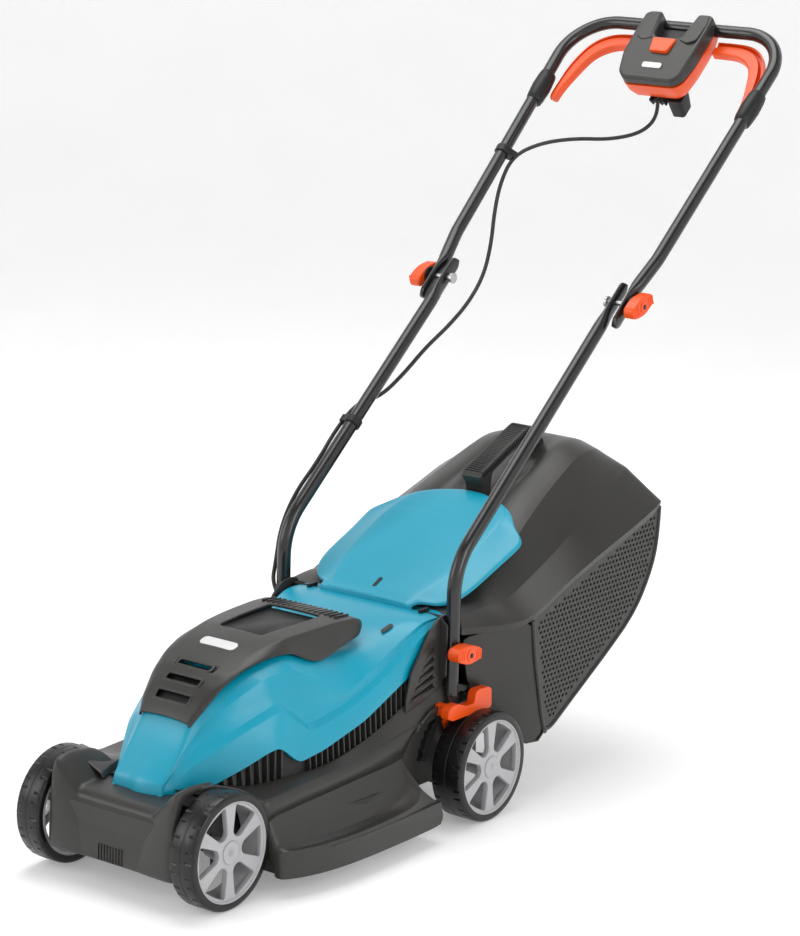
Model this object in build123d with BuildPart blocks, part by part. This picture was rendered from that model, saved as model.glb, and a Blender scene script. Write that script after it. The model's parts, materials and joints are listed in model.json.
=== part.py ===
from build123d import *
import math
import os

# Corded electric rotary lawn mower with a rear grass box.
# Units are millimetres. +X is the side with the height lever, +Y points back to the person pushing
# the mower, +Z is up. The origin is on the ground, under the middle of the bounding box.

os.makedirs("parts", exist_ok=True)

# ---------------------------------------------------------------- driving dimensions
wheel_radius = 77.5
front_axle_y = -590.0
rear_axle_y = -99.0
front_wheel_inner_x = 112.7
front_wheel_outer_x = 152.7
rear_wheel_inner_x = 154.3
rear_wheel_outer_x = 204.3
rim_radius = 66.7
axle_radius = 5.0
running_gap = 0.05

crank_length = 60.0
crank_rest_angle = 19.5
crank_back = crank_length * math.cos(math.radians(crank_rest_angle))
crank_pivot_z = wheel_radius - crank_length * math.sin(math.radians(crank_rest_angle))
front_pivot_y = front_axle_y + crank_back
rear_pivot_y = rear_axle_y + crank_back
link_arm = 50.0
link_x = 102.4
link_z = crank_pivot_z + link_arm

skirt_bottom_z = 26.0
chamber_y = -328.0
chamber_radius = 164.0
chamber_edge_z = 78.0
chamber_roof_z = 86.0
bay_floor_z = 92.0

tube_radius = 10.0
tube_wall = 1.5
lower_tube_x = 150.0
lower_tube_y = -128.0
lower_tube_foot_z = 177.0
lower_bend_z = 360.0
lower_knob_z = 240.0
junction_y = 241.0
junction_z = 677.0
handle_slope = 42.5
upper_tube_x = 170.6
crossbar_s = 530.0
bolt_radius = 4.0

flap_hinge_y = -124.0
flap_hinge_z = 283.0

cable_radius = 3.0
cable_entry = [(-162, -140, 276), (-136, -147, 260)]

slope = math.radians(handle_slope)
handle_plane = Plane(
    origin=(0, junction_y, junction_z),
    x_dir=(1, 0, 0),
    z_dir=(0, -math.sin(slope), math.cos(slope)),
)


handle_normal = Axis((0, 0, 0), handle_plane.z_dir)


def on_handle(x, s, n=0.0):
    """Point x across the handle, s up its slope from the fold and n above its plane."""
    y = junction_y + s * math.cos(slope) - n * math.sin(slope)
    z = junction_z + s * math.sin(slope) + n * math.cos(slope)
    return (x, y, z)


def save(piece, label):
    """Name a finished piece and write it to its own STEP file."""
    piece.label = label
    export_step(piece, f"parts/{label}.step")


def mirrored_outline(points):
    """Close a right-hand outline with its mirror image in the middle plane."""
    left = [(-x, v) for x, v in reversed(points)]
    return points + left


def cross_loft(rows):
    """Loft ruled sections, each one (y, right-hand outline from bottom to top)."""
    sections = []
    for y, points in rows:
        with BuildSketch(Plane.XZ.offset(-y)) as section:
            with BuildLine():
                Polyline(*mirrored_outline(points), close=True)
            make_face()
        sections.append(section.sketch)
    loft(sections, ruled=True)


def side_prism(points, x_from, x_to, mode=Mode.ADD):
    """Extrude a side-view outline of (y, z) points between two x stations."""
    with BuildSketch(Plane.YZ.offset(x_from)) as outline:
        with BuildLine():
            Polyline(*points, close=True)
        make_face()
    extrude(outline.sketch, amount=x_to - x_from, mode=mode)


def block(x_range, y_range, z_range, mode=Mode.ADD):
    """A box between three pairs of limits."""
    middle = [(a + b) / 2 for a, b in (x_range, y_range, z_range)]
    size = [b - a for a, b in (x_range, y_range, z_range)]
    with Locations(tuple(middle)):
        Box(*size, mode=mode)


def cross_rod(radius, x_from, x_to, y, z, mode=Mode.ADD):
    """A round rod or bore along X."""
    with BuildSketch(Plane.YZ.offset(x_from)) as disc:
        with Locations((y, z)):
            Circle(radius)
    extrude(disc.sketch, amount=x_to - x_from, mode=mode)


def post(radius, x, y, z_from, z_to, mode=Mode.ADD):
    """A round post or hole along Z."""
    with BuildSketch(Plane.XY.offset(z_from)) as disc:
        with Locations((x, y)):
            Circle(radius)
    extrude(disc.sketch, amount=z_to - z_from, mode=mode)


# ---------------------------------------------------------------- deck
# The skirt's right side at four heights, front to back.
skirt_wall = 3.0
skirt_levels = [
    (58, [
        (168, -517), (175, -511), (189, -486), (198, -440), (203, -380), (202, -310), (200, -262), (200, -222),
    ]),
    (65, [
        (158, -517), (163, -511), (171, -486), (177, -440), (180, -380), (179, -310), (174, -262), (170, -238),
    ]),
    (84, [
        (152, -517), (154, -511), (157, -486), (160, -440), (161, -380), (161, -310), (158, -262), (155, -242),
    ]),
    (102, [
        (147, -507), (147.4, -506), (147.6, -486), (147.8, -440), (148, -380), (148, -310), (147.8, -262),
        (147.6, -242),
    ]),
]
skirt_foot = [
    (158, -507), (160, -517), (170, -517), (189, -486), (200, -440), (205, -380), (205, -310), (204, -250),
    (203, -214),
]
deck_side = [(-506, 90), (-506, 124), (-339, 130), (-214, 148), (-214, 90)]
nose_rows = [
    (-649, [(96, 46), (100, 50), (98, 104), (90, 112)]),
    (-640, [(102, 42), (105, 46), (104, 112), (94, 118)]),
    (-600, [(104, 36), (107, 44), (107, 121), (98, 126)]),
    (-506, [(104, 36), (107, 44), (107, 119), (98, 125)]),
]
tail_side = [
    (-214, 60), (-214, 148), (-159, 156), (-121, 168), (-106, 168), (-106, 118), (-113, 112), (-113, 60),
]
chute_foot = [(-240, 90), (-240, 150), (-214, 187), (-214, 90)]
chute_block = [(-214, 90), (-214, 187), (-165, 258), (-106, 266), (-106, 112), (-150, 88)]
chute_space = [
    (-310, 30), (-310, 83), (-238, 84), (-160, 252), (-100, 260), (-100, 126), (-158, 96), (-158, 30),
]
lug_side = [(-214, 86), (-214, 108), (-32, 108), (-30, 46), (-54, 46), (-56, 90)]
pad_y = (lower_tube_y - 10.5, lower_tube_y + 12)
tail_half_width = 142.8


def level_outline(height, points, inset=0.0):
    """One level of the skirt as a closed outline across the deck."""
    right = [(points[0][0] - inset - 6, points[0][1] + inset)] + [(x - inset, y) for x, y in points[1:-1]]
    right.append((points[-1][0] - inset, points[-1][1] - inset))
    with BuildSketch(Plane.XY.offset(height)) as outline:
        with BuildLine():
            Polyline(*mirrored_outline(right), close=True)
        make_face()
    return outline.sketch


def blade_space():
    """Cut the round chamber in which the blade turns, stepped up in the middle."""
    post(chamber_radius, 0, chamber_y, 0, chamber_edge_z, mode=Mode.SUBTRACT)
    post(chamber_radius - 14, 0, chamber_y, 0, chamber_roof_z, mode=Mode.SUBTRACT)


with BuildPart() as skirt_inside:
    inner = [(height - skirt_wall, points) for height, points in skirt_levels[:3]]
    extrude(level_outline(0, skirt_levels[0][1], 5), amount=inner[0][0])
    loft([level_outline(height, points, 5) for height, points in inner], ruled=True)
    block((-250, 250), (-600, -502), (0, 100), mode=Mode.SUBTRACT)
    block((-250, 250), (-600, -100), (chamber_edge_z, 100), mode=Mode.SUBTRACT)

with BuildPart() as chamber_wall:
    post(chamber_radius + 3, 0, chamber_y, skirt_bottom_z, chamber_roof_z)
    post(chamber_radius, 0, chamber_y, 0, 200, mode=Mode.SUBTRACT)
    block((-250, 250), (-214, 0), (0, 200), mode=Mode.SUBTRACT)
    block((-250, 250), (-600, -503), (0, 200), mode=Mode.SUBTRACT)

with BuildPart() as deck:
    with BuildSketch(Plane.XY.offset(skirt_bottom_z)) as foot:
        with BuildLine():
            Polyline(*mirrored_outline(skirt_foot), close=True)
        make_face()
    extrude(foot.sketch, amount=skirt_levels[0][0] - skirt_bottom_z)
    loft([level_outline(height, points) for height, points in skirt_levels], ruled=True)
    add(skirt_inside.part, mode=Mode.SUBTRACT)
    # straight front face, with room for the front wheels beside it
    block((-250, 250), (-540, -506), (0, 200), mode=Mode.SUBTRACT)
    side_prism(deck_side, -148, 148)
    add(chamber_wall.part)
    # motor bay, then pockets beside it
    block((-85, 85), (-480, -245), (bay_floor_z, 200), mode=Mode.SUBTRACT)
    for sign in (1, -1):
        pocket = sorted((sign * 112, sign * 144))
        block(pocket, (-496, -220), (bay_floor_z, 200), mode=Mode.SUBTRACT)
        block(sorted((sign * 88, sign * 112)), (-496, -484), (bay_floor_z, 200), mode=Mode.SUBTRACT)
    side_prism(chute_foot, -92, 92)
    side_prism(chute_space, -86, 86, mode=Mode.SUBTRACT)
    blade_space()
    post(8, 0, chamber_y, 60, 100, mode=Mode.SUBTRACT)
    block((94, 109), (-512, -200), (89, 200), mode=Mode.SUBTRACT)
save(deck.part, "deck")

with BuildPart() as deck_nose:
    cross_loft(nose_rows)
    # hollow round the front crank, with slots for the axle's travel
    block((-105, 105), (-641, -509), (20, 118), mode=Mode.SUBTRACT)
    block((-120, 120), (-602, -578), (20, 90), mode=Mode.SUBTRACT)
    block((-88, 88), (-600, -500), (100, 130), mode=Mode.SUBTRACT)
    for sign in (1, -1):
        boss = sorted((sign * 100.2, sign * 107))
        cross_rod(11, boss[0], boss[1], front_pivot_y, crank_pivot_z)
    block((94, 105), (-512, -500), (89, 118), mode=Mode.SUBTRACT)
    cross_rod(axle_radius + running_gap, -112, 112, front_pivot_y, crank_pivot_z, mode=Mode.SUBTRACT)
save(deck_nose.part, "deck_nose")

with BuildPart() as deck_tail:
    side_prism(tail_side, -tail_half_width, tail_half_width)
    block((-118, 118), (-214, -113), (40, 100))
    side_prism(chute_block, -92, 92)
    for sign in (1, -1):
        pocket = sorted((sign * 96, sign * 139.4))
        block(pocket, (-210, -118), (0, 144), mode=Mode.SUBTRACT)
        # foot pads of the lower handle tubes
        pad = sorted((sign * 110, sign * 154))
        block(pad, pad_y, (164, lower_tube_foot_z - 0.4))
        # rear lugs that carry the rear crank
        lug = sorted((sign * 118, sign * 126))
        side_prism(lug_side, lug[0], lug[1])
    side_prism(chute_space, -86, 86, mode=Mode.SUBTRACT)
    blade_space()
    block((94, 109), (-215, -100), (89, 200), mode=Mode.SUBTRACT)
    cross_rod(axle_radius + running_gap, -130, 130, rear_pivot_y, crank_pivot_z, mode=Mode.SUBTRACT)
save(deck_tail.part, "deck_tail")

# ---------------------------------------------------------------- hood and its cover
hood_rows = [
    (-599, (42, 132), (42, 138), (38, 142)),
    (-575, (60, 134), (54, 162), (40, 181)),
    (-546, (78, 138), (72, 186), (40, 212)),
    (-500, (100, 156), (90, 208), (46, 253)),
    (-440, (120, 160), (110, 224), (54, 276)),
    (-380, (129, 157), (120, 204), (64, 290.5)),
    (-300, (132, 176), (123, 208), (70, 291.5)),
    (-200, (133, 217), (125, 245), (95, 291)),
    (-160, (132, 250), (128, 264), (108, 289)),
    (-138, (131.6, 261), (128.6, 272), (110, 288)),
]
hood_wall = 3.0
hand_recess = ((-50, 50), (-402, -258), (256, 320))

with BuildPart() as hood_inside:
    rows = []
    for index, (y, bottom, shoulder, top) in enumerate(hood_rows):
        shift = hood_wall if index == 0 else 0.0
        shift = hood_wall if index == len(hood_rows) - 1 else shift
        outline = [
            (bottom[0] - hood_wall, bottom[1] - 8),
            (bottom[0] - hood_wall, bottom[1]),
            (shoulder[0] - hood_wall, shoulder[1] - 2),
            (top[0] - hood_wall, top[1] - hood_wall),
        ]
        rows.append((y + shift, outline))
    cross_loft(rows)
    floor_z = hand_recess[2][0] - hood_wall
    block((-53, 53), (-405, -255), (floor_z, 330), mode=Mode.SUBTRACT)

with BuildPart() as hood:
    cross_loft([(y, [bottom, shoulder, top]) for y, bottom, shoulder, top in hood_rows])
    block(*hand_recess, mode=Mode.SUBTRACT)
    add(hood_inside.part, mode=Mode.SUBTRACT)
save(hood.part, "hood")

cover_rows = [
    (-552, 43, 214, 220),
    (-531, 46, 233, 239),
    (-514, 48, 248, 255),
    (-494, 50, 261, 267),
    (-460, 55, 277, 282),
    (-426, 61, 287, 292),
    (-392, 67, 293.5, 298),
    (-340, 74, 294.5, 299),
    (-262, 74, 294.5, 299),
]
with BuildPart() as hood_cover:
    cross_loft([(y, [(half - 3, low), (half, low), (half - 2, high)]) for y, half, low, high in cover_rows])
    block((-44, 44), (-396, -290), (200, 330), mode=Mode.SUBTRACT)
    for vent_y in (-533, -511, -488):
        block((-30, 30), (vent_y - 5, vent_y + 5), (200, 330), mode=Mode.SUBTRACT)
save(hood_cover.part, "hood_cover")

with BuildPart() as hood_badge:
    with BuildSketch(Plane.XY.offset(290.2)):
        with Locations((0, -440)):
            SlotOverall(58, 15)
    extrude(amount=3.0)
save(hood_badge.part, "hood_badge")

# ---------------------------------------------------------------- side louvre brackets
louvre_side = [
    (-216, 166), (-216, 190), (-182, 236), (-172, 278), (-150, 291),
    (-110, 291), (-110, lower_tube_foot_z), (-146, lower_tube_foot_z), (-159, 166),
]
for side, sign in (("right", 1), ("left", -1)):
    with BuildPart() as louvre:
        plate = sorted((sign * 134.2, sign * 139.4))
        side_prism(louvre_side, plate[0], plate[1])
        for step in range(4):
            low = 176 + 14 * step
            front = -208 + 8 * step
            slot = [(front, low), (front, low + 6), (-160, low + 18), (-160, low + 12)]
            side_prism(slot, plate[0] - 1, plate[1] + 1, mode=Mode.SUBTRACT)
        for flange_y in (lower_tube_y - 16, lower_tube_y + 12):
            flange = sorted((sign * 139.4, sign * 150))
            block(flange, (flange_y, flange_y + 4), (200, 288))
        bore = sorted((sign * 130, sign * 145))
        cross_rod(bolt_radius + running_gap, bore[0], bore[1], lower_tube_y, lower_knob_z, mode=Mode.SUBTRACT)
        if side == "left":
            run = tuple(b - a for a, b in zip(*cable_entry))
            with BuildSketch(Plane(origin=cable_entry[1], z_dir=run)) as entry:
                Circle(cable_radius + 0.6)
            extrude(entry.sketch, amount=25, both=True, mode=Mode.SUBTRACT)
    save(louvre.part, f"louvre_{side}")

# ---------------------------------------------------------------- motor and blade
with BuildPart() as motor_mount:
    post(76, 0, chamber_y, bay_floor_z, bay_floor_z + 5)
    post(8, 0, chamber_y, bay_floor_z - 1, bay_floor_z + 6, mode=Mode.SUBTRACT)
save(motor_mount.part, "motor_mount")

can_bottom = bay_floor_z + 5
can_top = 222.0
with BuildPart() as motor_can:
    post(60, 0, chamber_y, can_bottom, can_top)
    post(20, 0, chamber_y, can_top, can_top + 14)
    post(56, 0, chamber_y, can_bottom + 5, can_top - 5, mode=Mode.SUBTRACT)
    post(6 + running_gap, 0, chamber_y, can_bottom - 1, can_top + 8, mode=Mode.SUBTRACT)
save(motor_can.part, "motor_can")

with BuildPart() as stator:
    post(56, 0, chamber_y, 115, 200)
    post(34, 0, chamber_y, 114, 201, mode=Mode.SUBTRACT)
save(stator.part, "stator")

with BuildPart() as rotor_core:
    post(33, 0, chamber_y, 120, 195)
    post(6, 0, chamber_y, 119, 196, mode=Mode.SUBTRACT)
save(rotor_core.part, "rotor_core")

with BuildPart() as rotor_shaft:
    post(6, 0, chamber_y, 44, can_top + 6)
save(rotor_shaft.part, "rotor_shaft")

with BuildPart() as blade_hub:
    post(24, 0, chamber_y, 47, 76)
    with BuildSketch(Plane.XY.offset(62)):
        with Locations((0, chamber_y)):
            Circle(58)
    extrude(amount=4)
    post(6, 0, chamber_y, 40, 80, mode=Mode.SUBTRACT)
save(blade_hub.part, "blade_hub")

blade_half = 159.0
with BuildPart() as blade:
    with BuildSketch(Plane.XY.offset(43)):
        with Locations((0, chamber_y)):
            Rectangle(2 * blade_half, 46)
    extrude(amount=3.4)
    for sign in (1, -1):
        wing = [(chamber_y + sign * 12, 46.4), (chamber_y + sign * 23, 46.4), (chamber_y + sign * 23, 56)]
        limits = sorted((sign * 112, sign * 155))
        side_prism(wing, limits[0], limits[1])
    post(6, 0, chamber_y, 40, 50, mode=Mode.SUBTRACT)
save(blade.part, "blade")

with BuildPart() as blade_bolt:
    with BuildSketch(Plane.XY.offset(35)):
        with Locations((0, chamber_y)):
            RegularPolygon(11, 6)
    extrude(amount=8)
    post(6, 0, chamber_y, 43, 44)
save(blade_bolt.part, "blade_bolt")

# ---------------------------------------------------------------- wheel height gear
def crank_web(x_from, x_to, axle_y, pivot_y):
    """The flat arm that joins an axle to its pivot shaft."""
    dy = axle_y - pivot_y
    dz = wheel_radius - crank_pivot_z
    nx = -dz / crank_length * 9
    nz = dy / crank_length * 9
    corners = [
        (axle_y + nx, wheel_radius + nz), (pivot_y + nx, crank_pivot_z + nz),
        (pivot_y - nx, crank_pivot_z - nz), (axle_y - nx, wheel_radius - nz),
    ]
    side_prism(corners, x_from, x_to)
    cross_rod(9, x_from, x_to, axle_y, wheel_radius)
    cross_rod(9, x_from, x_to, pivot_y, crank_pivot_z)


def link_horn(pivot_y):
    """The short upright arm that carries a link rod pin."""
    block((link_x - 6.6, link_x - 2.6), (pivot_y - 6, pivot_y + 6), (crank_pivot_z, link_z))
    cross_rod(7, link_x - 6.6, link_x - 2.6, pivot_y, link_z)
    cross_rod(bolt_radius, link_x - 3, link_x + 2.4, pivot_y, link_z)


with BuildPart() as front_crank:
    cross_rod(axle_radius, -148, 148, front_axle_y, wheel_radius)
    cross_rod(axle_radius, -107, 107, front_pivot_y, crank_pivot_z)
    crank_web(-92, -86, front_axle_y, front_pivot_y)
    crank_web(86, 92, front_axle_y, front_pivot_y)
    link_horn(front_pivot_y)
save(front_crank.part, "front_crank")

with BuildPart() as rear_crank:
    cross_rod(axle_radius, -200, 200, rear_axle_y, wheel_radius)
    cross_rod(axle_radius, -134, 134, rear_pivot_y, crank_pivot_z)
    crank_web(-134, -128, rear_axle_y, rear_pivot_y)
    crank_web(128, 134, rear_axle_y, rear_pivot_y)
    link_horn(rear_pivot_y)
save(rear_crank.part, "rear_crank")

with BuildPart() as link_rod:
    block((link_x - 2, link_x + 2), (front_pivot_y, rear_pivot_y), (link_z - 4, link_z + 4))
    for pivot_y in (front_pivot_y, rear_pivot_y):
        cross_rod(8, link_x - 2, link_x + 2, pivot_y, link_z)
    cross_rod(bolt_radius + running_gap, link_x - 5, link_x + 5, rear_pivot_y, link_z, mode=Mode.SUBTRACT)
    cross_rod(bolt_radius + 0.6, link_x - 5, link_x + 5, front_pivot_y, link_z, mode=Mode.SUBTRACT)
save(link_rod.part, "link_rod")

lever_arm = [(-107, 84), (-92, 92), (-146, 172), (-160, 168), (-158, 156)]
lever_grip = [
    (-160, 156), (-158, 172), (-142, 181), (-102, 173), (-98, 186),
    (-72, 183), (-70, 168), (-92, 160), (-118, 162), (-142, 161),
]
with BuildPart() as height_lever:
    side_prism(lever_arm, 145, 151)
    cross_rod(11, 145, 151, rear_axle_y, wheel_radius)
    cross_rod(axle_radius, 140, 155, rear_axle_y, wheel_radius, mode=Mode.SUBTRACT)
    block((145, 164), (-160, -148.5), (158, 170))
    side_prism(lever_grip, 163, 184)
save(height_lever.part, "height_lever")


# ---------------------------------------------------------------- wheels
def build_wheel(name, inner_x, outer_x, axle_y, sign):
    """One wheel: tyre, spoked rim and hub cap, on the side that sign gives."""
    inner = sign * inner_x
    outer = sign * outer_x
    low, high = sorted((inner, outer))
    face_low, face_high = sorted((outer - sign * 3, outer - sign * 13))
    cap_low, cap_high = sorted((outer - sign * 2.6, outer - sign * 0.6))
    with BuildPart() as tyre:
        cross_rod(wheel_radius, low, high, axle_y, wheel_radius)
        cross_rod(rim_radius, low - 1, high + 1, axle_y, wheel_radius, mode=Mode.SUBTRACT)
        outer_edges = tyre.edges().filter_by(GeomType.CIRCLE).sort_by(SortBy.RADIUS)[-2:]
        fillet(outer_edges, radius=5)
    save(tyre.part, f"tyre_{name}")
    with BuildPart() as rim:
        cross_rod(rim_radius, low, high, axle_y, wheel_radius)
        cross_rod(rim_radius - 5, low - 1, high + 1, axle_y, wheel_radius, mode=Mode.SUBTRACT)
        cross_rod(16, low, cap_low if sign > 0 else high, axle_y, wheel_radius)
        for turn in range(6):
            angle = math.radians(60 * turn + 30)
            along = (math.cos(angle), math.sin(angle))
            across = (-along[1], along[0])
            corners = []
            for radius, half in ((10, 8), (10, -8), (63.5, -12), (63.5, 12)):
                corners.append((
                    axle_y + radius * along[0] + half * across[0],
                    wheel_radius + radius * along[1] + half * across[1],
                ))
            side_prism(corners, face_low, face_high)
        if sign < 0:
            cross_rod(17, low - 1, cap_high, axle_y, wheel_radius, mode=Mode.SUBTRACT)
        cross_rod(axle_radius + running_gap, low - 1, high + 1, axle_y, wheel_radius, mode=Mode.SUBTRACT)
    save(rim.part, f"rim_{name}")
    with BuildPart() as hub_cap:
        cross_rod(15.5, cap_low, cap_high, axle_y, wheel_radius)
    save(hub_cap.part, f"hub_cap_{name}")


for side, sign in (("right", 1), ("left", -1)):
    build_wheel(f"front_{side}", front_wheel_inner_x, front_wheel_outer_x, front_axle_y, sign)
    build_wheel(f"rear_{side}", rear_wheel_inner_x, rear_wheel_outer_x, rear_axle_y, sign)

# ---------------------------------------------------------------- rear flap
flap_top = [
    (-130, 288), (-112, 293), (-98, 298), (-77, 308), (-46, 322), (0, 345), (47, 370), (95, 391), (115, 394),
]
flap_thick = 4.0
flap_plan = [
    (82, -130), (92, -112), (116, -100), (130, -77), (135, -46), (135, 0), (139, 47), (112, 66), (91, 92),
    (29, 115),
]
with BuildPart() as rear_flap:
    under = [(y, z - flap_thick) for y, z in reversed(flap_top)]
    side_prism(flap_top + under, -139, 139)
    with BuildSketch(Plane.XY.offset(250)):
        with BuildLine():
            Polyline(*mirrored_outline(flap_plan), close=True)
        make_face()
    extrude(amount=170, mode=Mode.INTERSECT)
    cross_rod(5, -80, 80, flap_hinge_y, flap_hinge_z)
    cross_rod(2.5 + running_gap, -130, 130, flap_hinge_y, flap_hinge_z, mode=Mode.SUBTRACT)
save(rear_flap.part, "rear_flap")

with BuildPart() as flap_rod:
    cross_rod(2.5, -134, 134, flap_hinge_y, flap_hinge_z)
    for sign in (1, -1):
        ear = sorted((sign * 96, sign * 101))
        block(ear, (-136, -117), (268, 290))
save(flap_rod.part, "flap_rod")

# ---------------------------------------------------------------- grass box
lid_rows = [
    (-90, [(150, 262), (152, 268), (148, 279), (90, 281)]),
    (-12, [(192, 256), (194, 266), (150, 286), (110, 320)]),
    (60, [(192, 282), (195, 293), (152, 322), (100, 360)]),
    (167, [(193, 320), (196, 331), (154, 368), (90, 405)]),
    (241, [(194, 347), (196, 358), (146, 398), (80, 434)]),
    (312, [(194, 368), (197, 378), (134, 422), (70, 440)]),
    (331, [(184, 366), (186, 378), (128, 404), (70, 418)]),
]
with BuildPart() as lid_inside:
    rows = []
    for index, (y, points) in enumerate(lid_rows):
        shift = {0: -10, len(lid_rows) - 1: -4}.get(index, 0)
        inner = [(points[0][0] - 4, points[0][1] - 12)]
        inner.append((points[1][0] - 4, points[1][1] - 3))
        inner.append((points[2][0] - 3, points[2][1] - 4))
        inner.append((points[3][0] - 3, points[3][1] - 4))
        rows.append((y + shift, inner))
    cross_loft(rows)

with BuildPart() as box_lid:
    cross_loft(lid_rows)
    add(lid_inside.part, mode=Mode.SUBTRACT)
save(box_lid.part, "box_lid")

basket_side = [
    (-90, 258), (-90, 182), (-58, 152), (-6, 92), (12, 78), (34, 78), (62, 98), (102, 124),
    (192, 176), (258, 222), (298, 274), (315, 322), (320, 362), (241, 340), (167, 314), (60, 276), (-12, 250),
]
inner_side = [
    (-110, 300), (-110, 186), (-56, 158), (-3, 97), (14, 82), (33, 82), (60, 102), (100, 128),
    (190, 180), (254, 225), (294, 276), (311, 323), (316, 420), (-12, 420),
]
with BuildPart() as box_basket:
    side_prism(basket_side, -190, 190)
    side_prism(inner_side, -186, 186, mode=Mode.SUBTRACT)
    for sign in (1, -1):
        # the basket's shoulders narrow towards the mouth, clear of the rear wheels
        corner = [
            (sign * 210, -110), (sign * 140, -110), (sign * 146, -98), (sign * 193, -12), (sign * 210, -12),
        ]
        with BuildSketch(Plane.XY.offset(60)):
            with BuildLine():
                Polyline(*corner, close=True)
            make_face()
        extrude(amount=250, mode=Mode.SUBTRACT)
save(box_basket.part, "box_basket")

grip_outline = [
    (128, 384), (126, 400), (110, 416), (112, 427), (226, 478), (240, 474), (262, 454), (286, 440),
    (294, 428), (280, 428), (252, 446), (232, 462), (222, 460), (140, 423), (142, 390),
]
with BuildPart() as box_grip:
    side_prism(grip_outline, -18, 18)
save(box_grip.part, "box_grip")


# ---------------------------------------------------------------- handle
def tube_along(points, radii, start_plane):
    """A round tube swept along straight runs joined by tangent arcs."""
    with BuildLine() as path:
        FilletPolyline(*points, radius=radii)
    with BuildSketch(start_plane) as ring:
        Circle(tube_radius)
        Circle(tube_radius - tube_wall, mode=Mode.SUBTRACT)
    sweep(ring.sketch, path=path.line)


lower_end_y = junction_y + 36 * math.cos(slope)
lower_rise = (junction_z - lower_bend_z) / (junction_y - lower_tube_y)
lower_end_z = junction_z + (lower_end_y - junction_y) * lower_rise
for side, sign in (("right", 1), ("left", -1)):
    x = sign * lower_tube_x
    with BuildPart() as lower_tube:
        route = [
            (x, lower_tube_y, lower_tube_foot_z), (x, lower_tube_y, lower_bend_z),
            (x, lower_end_y, lower_end_z),
        ]
        tube_along(route, 90, Plane(origin=route[0], z_dir=(0, 0, 1)))
        bore = sorted((x - 15, x + 15))
        gap = bolt_radius + running_gap
        cross_rod(gap, bore[0], bore[1], lower_tube_y, lower_knob_z, mode=Mode.SUBTRACT)
        cross_rod(gap, bore[0], bore[1], junction_y, junction_z, mode=Mode.SUBTRACT)
    save(lower_tube.part, f"lower_tube_{side}")

right_route = [(upper_tube_x, -42), (upper_tube_x, 30), (179, 85), (193, crossbar_s)]
left_route = [(-x, s) for x, s in reversed(right_route)]
with BuildPart() as upper_handle:
    points = [on_handle(x, s) for x, s in right_route + left_route]
    radii = [90, 90, 76, 76, 90, 90]
    start = Plane(origin=points[0], z_dir=tuple(b - a for a, b in zip(points[0], points[1])))
    tube_along(points, radii, start)
    cross_rod(bolt_radius + running_gap, -190, 190, junction_y, junction_z, mode=Mode.SUBTRACT)
save(upper_handle.part, "upper_handle")

with BuildPart() as tube_bolts:
    for sign in (1, -1):
        low, high = sorted((sign * 139.4, sign * 192))
        cross_rod(bolt_radius, low, high, junction_y, junction_z)
        head = sorted((sign * 135.5, sign * 139.6))
        cross_rod(8, head[0], head[1], junction_y, junction_z)
        low, high = sorted((sign * 131.2, sign * 174))
        cross_rod(bolt_radius, low, high, lower_tube_y, lower_knob_z)
        head = sorted((sign * 130.4, sign * 134.0))
        cross_rod(7, head[0], head[1], lower_tube_y, lower_knob_z)
save(tube_bolts.part, "tube_bolts")


def build_wing_knob(label, x_from, x_to, y, z, tilt):
    """A wing nut with two flat ears, on a bolt that runs along X."""
    low, high = sorted((x_from, x_to))
    with BuildPart() as knob:
        cross_rod(12, low, high, y, z)
        turn = math.radians(tilt)
        along = (math.cos(turn), math.sin(turn))
        corners = []
        for reach, half in ((-24, -5), (-24, 5), (0, 9), (24, 5), (24, -5), (0, -9)):
            corners.append((y + reach * along[0] - half * along[1], z + reach * along[1] + half * along[0]))
        side_prism(corners, low, high)
        cross_rod(bolt_radius + running_gap, low - 1, high + 1, y, z, mode=Mode.SUBTRACT)
    save(knob.part, label)


for side, sign in (("right", 1), ("left", -1)):
    build_wing_knob(f"fold_knob_{side}", sign * 181.2, sign * 200, junction_y, junction_z, 20)
    build_wing_knob(f"foot_knob_{side}", sign * 160.6, sign * 182, lower_tube_y, lower_knob_z, -8)

# ---------------------------------------------------------------- handle fittings
bail_hinge_s = 385.0
bail_hinge_n = -18.0
for side, sign in (("right", 1), ("left", -1)):
    with BuildPart() as collar:
        tube_x = 179 + 14 * (bail_hinge_s - 85) / (crossbar_s - 85)
        with BuildSketch(handle_plane.offset(-22)):
            with Locations((sign * (tube_x - 1), bail_hinge_s - 2)):
                RectangleRounded(26, 54, 6)
        extrude(amount=35)
        start = on_handle(sign * 179, 85)
        end = on_handle(sign * 193, crossbar_s)
        axis = tuple(b - a for a, b in zip(start, end))
        with BuildSketch(Plane(origin=start, z_dir=axis)):
            Circle(tube_radius + 0.05)
        extrude(amount=460, mode=Mode.SUBTRACT)
        hinge = on_handle(0, bail_hinge_s, bail_hinge_n)
        bore = sorted((sign * 170, sign * 184))
        cross_rod(3 + running_gap, bore[0], bore[1], hinge[1], hinge[2], mode=Mode.SUBTRACT)
    save(collar.part, f"collar_{side}")

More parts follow.
